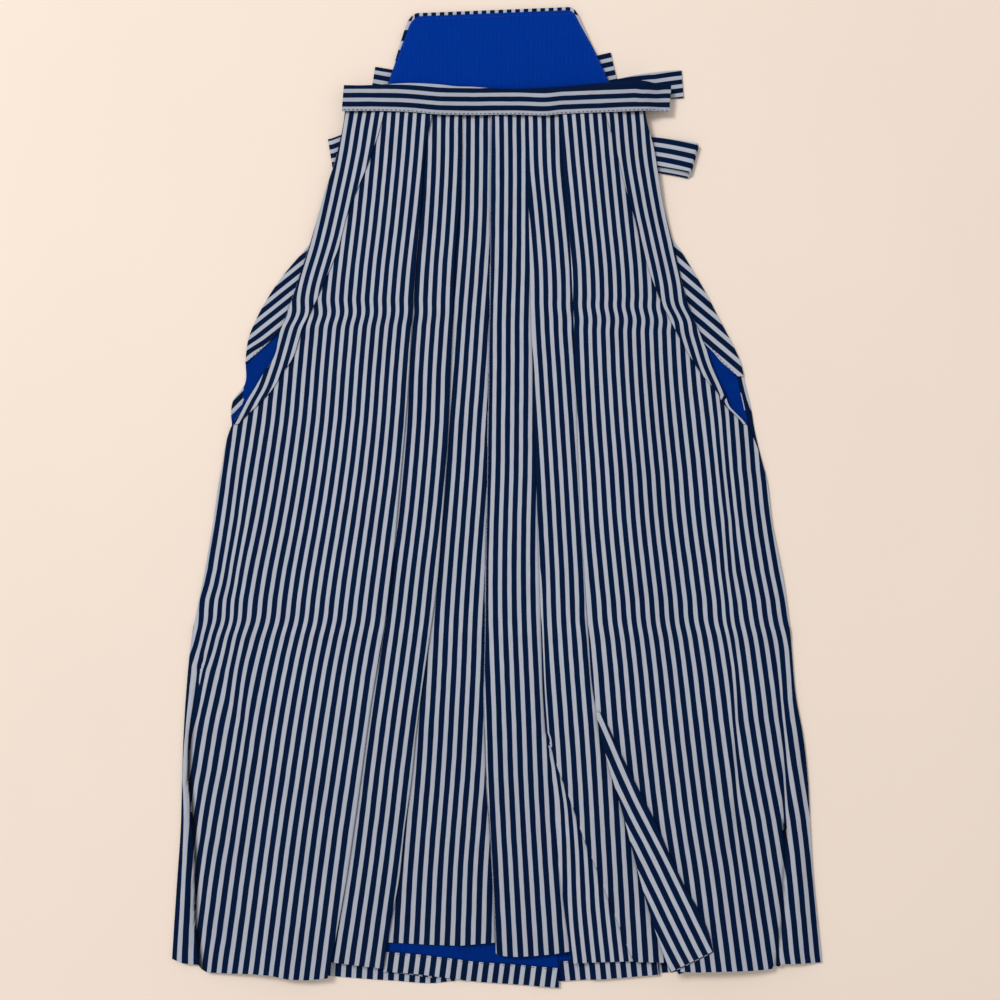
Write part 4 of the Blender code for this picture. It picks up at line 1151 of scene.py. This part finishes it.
class HAKAMA_OT_back(bpy.types.Operator):
    """Builds the two back panels with their turned-up hems and turned-over edges"""
    bl_idname = "hakama.back"
    bl_label = "Back Panels"

    def execute(self, context):
        look = context.scene.hakama_cloth
        for side in ("left", "right"):
            panel, right = (f"back_{side}_panel_cloth",), side == "right"
            rows, counts = back_rows(side, look.row_step * BACK_COARSER)
            squares, counts = shown_face(side, rows, counts)
            build_cloth(f"back_{side}_panel", "back_cloth", rows, counts, look, not right,
                        striped=squares, held="folded", rests_on=())
            hem, marks = turned_hem_rows(side, rows)
            build_cloth(f"back_{side}_hem", "striped_cloth", hem, marks, look, right,
                        rests_on=panel)
            fold, marks = back_fold_rows(side, look.row_step)
            build_cloth(f"back_{side}_side_fold", "striped_cloth", fold, marks, look, right,
                        rests_on=panel)
            seam_on("back", hem[-2, 1:-1], CLOTH / 2)
            seam_on("back", fold[1:-1, -2], CLOTH / 2)
        return {"FINISHED"}


class HAKAMA_OT_front(bpy.types.Operator):
    """Builds the two pleated front panels and the inner fold of the right pleat"""
    bl_idname = "hakama.front"
    bl_label = "Front Panels"

    def execute(self, context):
        look = context.scene.hakama_cloth
        for side, make in (("left", front_left_rows), ("right", front_right_rows)):
            rows, counts = make(look.row_step)
            build_cloth(f"front_{side}_panel", "striped_cloth", rows, counts, look,
                        side == "right", held="folded", wrapped=MAIN_POINTS[side] - 1,
                        rests_on=("back_left_panel_cloth", "back_right_panel_cloth"),
                        shade=valley_shade(rows[..., 0], rows[..., 1]))
        rows, counts = inner_pleat_rows(look.row_step)
        build_cloth("front_right_inner_pleat", "striped_cloth", rows, counts, look, False,
                    rests_on=("front_left_panel_cloth",))
        return {"FINISHED"}


class HAKAMA_OT_side_folds(bpy.types.Operator):
    """Builds the narrow folds of the front beside the two side openings"""
    bl_idname = "hakama.side_folds"
    bl_label = "Side Folds"

    def execute(self, context):
        look = context.scene.hakama_cloth
        for side in ("left", "right"):
            rows, counts = side_fold_rows(side, look.row_step)
            build_cloth(f"front_{side}_side_fold", "striped_cloth", rows, counts, look,
                        side == "right", rests_on=(f"front_{side}_panel_cloth",))
        return {"FINISHED"}


class HAKAMA_OT_sprung_pleat(bpy.types.Operator):
    """Builds the pleat that has sprung out of line on the right"""
    bl_idname = "hakama.sprung_pleat"
    bl_label = "Sprung Pleat"

    def execute(self, context):
        look = context.scene.hakama_cloth
        rows, counts = sprung_pleat_rows(look.row_step)
        turned_up = rows[1:, 1:, 1] < rows[-1, 1:, 1] + HEM_TURN
        build_cloth("front_right_sprung_pleat", "striped_cloth", rows, counts, look, True,
                    striped=turned_up, held="folded", rests_on=("front_right_panel_cloth",))
        return {"FINISHED"}


class HAKAMA_OT_waistband(bpy.types.Operator):
    """Builds the front waistband over the pleats' top edges"""
    bl_idname = "hakama.waistband"
    bl_label = "Waistband"

    def execute(self, context):
        look = context.scene.hakama_cloth
        size = look.row_step
        fronts = [front_left_rows(size)[0], front_right_rows(size)[0],
                  side_fold_rows("left", size)[0], side_fold_rows("right", size)[0]]
        rows, counts = waistband_rows(fronts)
        seam_on("waistband", rows[1:-1, 1], CLOTH / 2 + 0.1)
        build_cloth("front_waistband", "striped_cloth", rows, counts, look, True,
                    across=(1, 0, 0), held="folded", shade=np.full(counts.shape, BAND_SHADE),
                    rests_on=("front_left_panel_cloth", "front_right_panel_cloth"))
        return {"FINISHED"}


def plate_grid(inset, z, dome, rounding, count=(30, 60)):
    """A grid over the back plate's outline, crowned in its middle and rounded down at its rim. The
    inset narrows to nothing down the two slanting sides."""
    heights, shares = ((1 - np.cos(np.pi * np.linspace(0, 1, number))) / 2 for number in count)
    rows = []
    for s_down in heights:
        ends = []
        for side, inward in INWARD.items():
            top, foot = PLATE_CORNERS["top_" + side], PLATE_CORNERS["foot_" + side]
            tall = top[1] - foot[1]
            s = 1.25 * inset / tall + (1 - 1.25 * inset / tall) * s_down
            below = max(0.0, PLATE_ROUND - s_down * tall)
            away = PLATE_ROUND - np.sqrt(PLATE_ROUND ** 2 - below ** 2)
            away = away - 0.25 * (inset > 0) * step(0.66, 1, s_down)
            if side == "left":
                away = away + 1.25 * inset * fade(0.1, 0.8, s_down)
                away = away - 2.4 * step(0, 0.12, s_down) * fade(0.15, 0.85, s_down)
            else:
                away = away + inset * fade(0.05, 0.5, s_down)
            ends.append((top[0] + (foot[0] - top[0]) * s + inward * away,
                         top[1] + (foot[1] - top[1]) * s))
        (x0, y0), (x1, y1) = ends
        x, y = x0 + (x1 - x0) * shares, y0 + (y1 - y0) * shares
        rim = np.minimum(np.minimum(x - x0, x1 - x), s_down * PLATE_HEIGHT)
        near = 1 - np.clip(rim / max(abs(rounding), 0.01), 0, 1)
        crown = dome * np.sin(np.pi * shares) * np.sin(np.pi * s_down)
        rows.append(np.stack((x, y, z + crown - rounding * (1 - np.sqrt(1 - near ** 2))), axis=1))
    return np.array(rows)


class HAKAMA_OT_back_plate(bpy.types.Operator):
    """Builds the stiff back plate: its covered board and the blue lining on it"""
    bl_idname = "hakama.back_plate"
    bl_label = "Back Plate"

    def execute(self, context):
        look = context.scene.hakama_cloth
        low = STRAP_THICK + GAP
        upper = plate_grid(0, low + PLATE_THICK, 0, 1.1)
        lower = plate_grid(0, low, 0, -1.1)
        x, y = upper[..., 0], upper[..., 1]
        # At both ends of the rim only dark cloth shows.
        counts = np.where((x > 78) & (y < 484), 9.25, x / 8.4 + 0.298)
        counts = np.where((x < -84) & (y < 484), (486 - y) / 20 - 10.35, counts)
        board = shell("back_plate_cover", upper, lower, cloths(look), counts, lengths_down(upper))
        settle(board, "plate_cover", node="back_plate")
        top = low + PLATE_THICK + GAP
        upper = plate_grid(PLATE_RIM, top + CLOTH, 0.6, 0.5, (40, 90))
        lower = plate_grid(PLATE_RIM, top, 0, 0, (40, 90))
        x, y = upper[..., 0], upper[..., 1]
        upper[..., 2] += 0.12 * np.sin(x / 6.1 + y / 60) * np.sin(y / 23)
        blue = finish_of("royal_blue_lining", blue_cloth, look.lining)
        lining = shell("back_plate_lining_cloth", upper, lower, [blue], x / 9, lengths_down(upper))
        settle(lining, "blue_lining", (upper + lower) / 2, "back_plate_lining",
               held="stretched", rests_on=("back_plate_cover",))
        for line in (upper[5, 6:-6], upper[5:-5, 6], upper[5:-5, -7]):
            seam_on("lining", line, 0)
        return {"FINISHED"}


def strap_shell(name, look):
    """A stretch of strap along its middle line: a flattened tube of striped cloth with rounded
    edges, and its middle surface."""
    path, marks, pitch = STRAPS[name]
    across = np.concatenate(([-1, -0.985, -0.96], np.linspace(-0.9, 0.9, 17), [0.96, 0.985, 1]))
    rim = np.clip((1 - np.abs(across)) / 0.04, 0, 1)
    half = STRAP_THICK * (0.12 + 0.38 * np.sqrt(1 - (1 - rim) ** 2))
    shares = np.linspace(0, 1, 60)
    x = path[0][0] + (path[-1][0] - path[0][0]) * shares
    y = down(path, x)
    lean, shares = np.arctan(np.gradient(y, x))[:, None], shares[:, None]
    reach = across * STRAP_WIDTH / 2
    x, y = x[:, None] - np.sin(lean) * reach, y[:, None] + np.cos(lean) * reach
    ripple = 0.12 * np.sin(shares * 23 + across * 2.1)
    upper = np.stack((x, y, STRAP_THICK / 2 + half + ripple), axis=2)
    lower = np.stack((x, y, STRAP_THICK / 2 - half + 0 * x), axis=2)
    counts = level(marks, shares) + (1 - across) / 2 * STRAP_WIDTH / pitch
    return shell(name + "_cloth", upper, lower, cloths(look), counts, lengths_down(upper),
                 flip=True), (upper + lower) / 2


def strap_loop_rows(side):
    """A strap that turns back under itself: two layers joined by a round turn."""
    outward, size = -INWARD[side], LOOPS[side]
    over, turn = np.linspace(0, 1, 16), np.radians((20, 45, 67, 90, 113, 135, 160))
    marks = size["count"] + size["turning"] * np.append(over ** 1.4, np.ones(len(turn) + len(over)))
    marks[-len(over):] += size["under"]
    rows, counts = [], []
    for share in np.linspace(0, 1, 22):
        tip = size["tip"] + size["lean"] * share - outward * LOOP_TURN
        x = size["root"] + (tip - size["root"]) * over
        y = size["top"] + size["fall"] * over ** size["bend"] - STRAP_WIDTH * share
        z = LOOP_ROOT_HEIGHT + size["rise"] * over ** 2
        middle = (z[-1] + STRAP_THICK / 2) / 2
        rows.append(np.concatenate((
            np.column_stack((x, y, z)),
            np.column_stack((tip + outward * LOOP_TURN * np.sin(turn),
                             y[-1] + size["slip"] * (1 - np.cos(turn)) / 2,
                             middle + (z[-1] - middle) * np.cos(turn))),
            np.column_stack((x, y + size["slip"], np.full(len(over), STRAP_THICK / 2)))[::-1])))
        counts.append(share * STRAP_WIDTH / size["pitch"] + marks)
    return np.array(rows), np.array(counts)


class HAKAMA_OT_straps(bpy.types.Operator):
    """Builds the ends and loops of the straps that show beside the waist"""
    bl_idname = "hakama.straps"
    bl_label = "Straps"

    def execute(self, context):
        look = context.scene.hakama_cloth
        for name in STRAPS:
            piece, middle = strap_shell(name, look)
            settle(piece, "strap_cloth", middle, name)
        for side in ("left", "right"):
            rows, counts = strap_loop_rows(side)
            first, second = wall_sides(rows, STRAP_THICK, (0, 1, 0))
            name = f"strap_{side}_loop"
            piece = shell(name + "_cloth", first, second, cloths(look), counts, lengths_down(rows))
            settle(piece, "strap_cloth", rows, name, held="folded")
        return {"FINISHED"}


# ---- sewing -------------------------------------------------------------------------------------

def stitch_tree():
    """Geometry Nodes: a row of short stitches along the edges of a mesh."""
    tree = bpy.data.node_groups.new("row_of_stitches", "GeometryNodeTree")
    for name, kind in (("Seam", "Geometry"), ("Length", "Float"), ("Spacing", "Float"),
                       ("Width", "Float"), ("Sides", "Int"), ("Seed", "Int"),
                       ("Thread", "Material")):
        tree.interface.new_socket(name, in_out="INPUT", socket_type="NodeSocket" + kind)
    tree.interface.new_socket("Stitches", in_out="OUTPUT", socket_type="NodeSocketGeometry")
    given = add(tree, "NodeGroupInput").outputs
    curve = add(tree, "GeometryNodeMeshToCurve", (given["Seam"],))
    places = add(tree, "GeometryNodeCurveToPoints", {0: curve, "Length": given["Spacing"]},
                 mode="LENGTH").outputs
    thread = add(tree, "GeometryNodeMeshUVSphere", {"Segments": given["Sides"], "Rings": 5,
                                                    "Radius": 0.5})
    uneven = add(tree, "FunctionNodeRandomValue", {2: 0.85, 3: 1.15, "Seed": given["Seed"]},
                 data_type="FLOAT")
    length = add(tree, "ShaderNodeMath", (given["Length"], uneven.outputs[1]),
                 operation="MULTIPLY")
    size = add(tree, "ShaderNodeCombineXYZ", (given["Width"], given["Width"], length))
    row = add(tree, "GeometryNodeInstanceOnPoints",
              {"Points": places["Points"], "Instance": thread, "Rotation": places["Rotation"],
               "Scale": size})
    row = add(tree, "GeometryNodeRealizeInstances", (row,))
    row = add(tree, "GeometryNodeSetMaterial", {"Geometry": row, "Material": given["Thread"]})
    add(tree, "NodeGroupOutput", (row,))
    return tree


def sew(name, lines, tree, values):
    """Stitches along lines on the cloth, made by the tree with these inputs."""
    points, edges = [], []
    for line in lines:
        edges += [(len(points) + n, len(points) + n + 1) for n in range(len(line) - 1)]
        points += ((line + CENTRING) * MM).tolist()
    mesh = bpy.data.meshes.new(name)
    mesh.from_pydata(points, edges, [])
    guide = placed(name + "_guide", mesh)
    modifier = guide.modifiers.new("stitches", "NODES")
    modifier.node_group = tree
    for item in tree.interface.items_tree:
        if item.in_out == "INPUT" and item.name in values:
            modifier[item.identifier] = values[item.name]
    evaluated = guide.evaluated_get(bpy.context.evaluated_depsgraph_get())
    made = bpy.data.meshes.new_from_object(evaluated)
    made.shade_smooth()
    bpy.data.objects.remove(guide)
    return placed(name, made)


class HAKAMA_OT_sewing(bpy.types.Operator):
    """Sews the waistband, the back's hems and turned edges, and the plate's lining"""
    bl_idname = "hakama.sewing"
    bl_label = "Sewing"

    def execute(self, context):
        look, sewing = context.scene.hakama_cloth, context.scene.hakama_sewing
        tree = stitch_tree()
        navy = finish_of("navy_sewing_thread", sewing_thread, look.navy)
        blue = finish_of("blue_sewing_thread", sewing_thread, look.lining)
        for place, thread, slot in (("waistband", navy, "striped_cloth"),
                                    ("back", navy, "striped_cloth"),
                                    ("lining", blue, "blue_lining")):
            if place not in SEAMS:
                raise RuntimeError(f"the {place} isn't built, so it can't be sewn")
            values = {"Length": sewing.stitch_length, "Spacing": sewing.stitch_spacing,
                      "Width": sewing.thread_width, "Sides": sewing.sides, "Seed": 3,
                      "Thread": thread}
            settle(sew(place + "_stitches", SEAMS.pop(place), tree, values), slot)
        return {"FINISHED"}


# ---- stage --------------------------------------------------------------------------------------

class HAKAMA_OT_stage(bpy.types.Operator):
    """Sets the floor, the soft light and the camera straight above"""
    bl_idname = "hakama.stage"
    bl_label = "Stage"

    def execute(self, context):
        scene, stage = context.scene, context.scene.hakama_stage
        mesh = bpy.data.meshes.new("floor")
        mesh.from_pydata([(x, y, 0) for x, y in FLOOR_CORNERS], [], [(0, 1, 2, 3)])
        mesh.materials.append(finish_of("pale_matt_floor", pale_floor, stage.floor))
        floor = placed("floor", mesh)
        floor.location.z = -FLOOR_BELOW

        scene.world = bpy.data.worlds.new("room")
        scene.world.use_nodes = True
        room = scene.world.node_tree.nodes["Background"]
        room.inputs["Color"].default_value = ROOM_COLOUR
        room.inputs["Strength"].default_value = stage.sky
        window = bpy.data.lights.new("window", "AREA")
        window.shape, window.size = "SQUARE", stage.window_size
        window.energy = stage.window_power
        light = placed("window", window)
        light.location = WINDOW_PLACE
        light.rotation_euler = (-light.location).to_track_quat("-Z", "Y").to_euler()

        lens = bpy.data.cameras.new("above")
        lens.sensor_width = 36.0
        lens.lens = lens.sensor_width * (stage.camera_height - CLOTH_MEAN) / stage.view_width
        lens.clip_start, lens.clip_end = 0.05, 50.0
        scene.camera = placed("above", lens)
        scene.camera.location = (*CAMERA_SHIFT, stage.camera_height)
        scene.view_settings.view_transform = "Standard"
        return {"FINISHED"}


class HAKAMA_PT_panel(bpy.types.Panel):
    """Lists the hakama's pieces and its settings"""
    bl_label = "Hakama"
    bl_idname = "HAKAMA_PT_panel"
    bl_space_type = "VIEW_3D"
    bl_region_type = "UI"
    bl_category = "Hakama"

    def draw(self, context):
        for operator in OPERATORS:
            self.layout.operator(operator.bl_idname)
        for group in (context.scene.hakama_cloth, context.scene.hakama_sewing,
                      context.scene.hakama_stage):
            box = self.layout.box()
            for name in group.__annotations__:
                box.prop(group, name)


OPERATORS = (HAKAMA_OT_back, HAKAMA_OT_front, HAKAMA_OT_side_folds, HAKAMA_OT_sprung_pleat,
             HAKAMA_OT_waistband, HAKAMA_OT_back_plate, HAKAMA_OT_straps, HAKAMA_OT_sewing,
             HAKAMA_OT_stage)
SETTINGS = {"hakama_cloth": ClothSettings, "hakama_sewing": SewingSettings,
            "hakama_stage": StageSettings}


def register():
    for name, group in SETTINGS.items():
        bpy.utils.register_class(group)
        setattr(bpy.types.Scene, name, PointerProperty(type=group))
    for one in (*OPERATORS, HAKAMA_PT_panel):
        bpy.utils.register_class(one)


def unregister():
    for one in (HAKAMA_PT_panel, *reversed(OPERATORS)):
        bpy.utils.unregister_class(one)
    for name, group in SETTINGS.items():
        delattr(bpy.types.Scene, name)
        bpy.utils.unregister_class(group)


def main():
    register()
    for operator in OPERATORS:
        group, name = operator.bl_idname.split(".")
        if getattr(getattr(bpy.ops, group), name)() != {"FINISHED"}:
            raise RuntimeError(f"{operator.bl_label} wasn't finished")


if __name__ == "__main__":
    main()
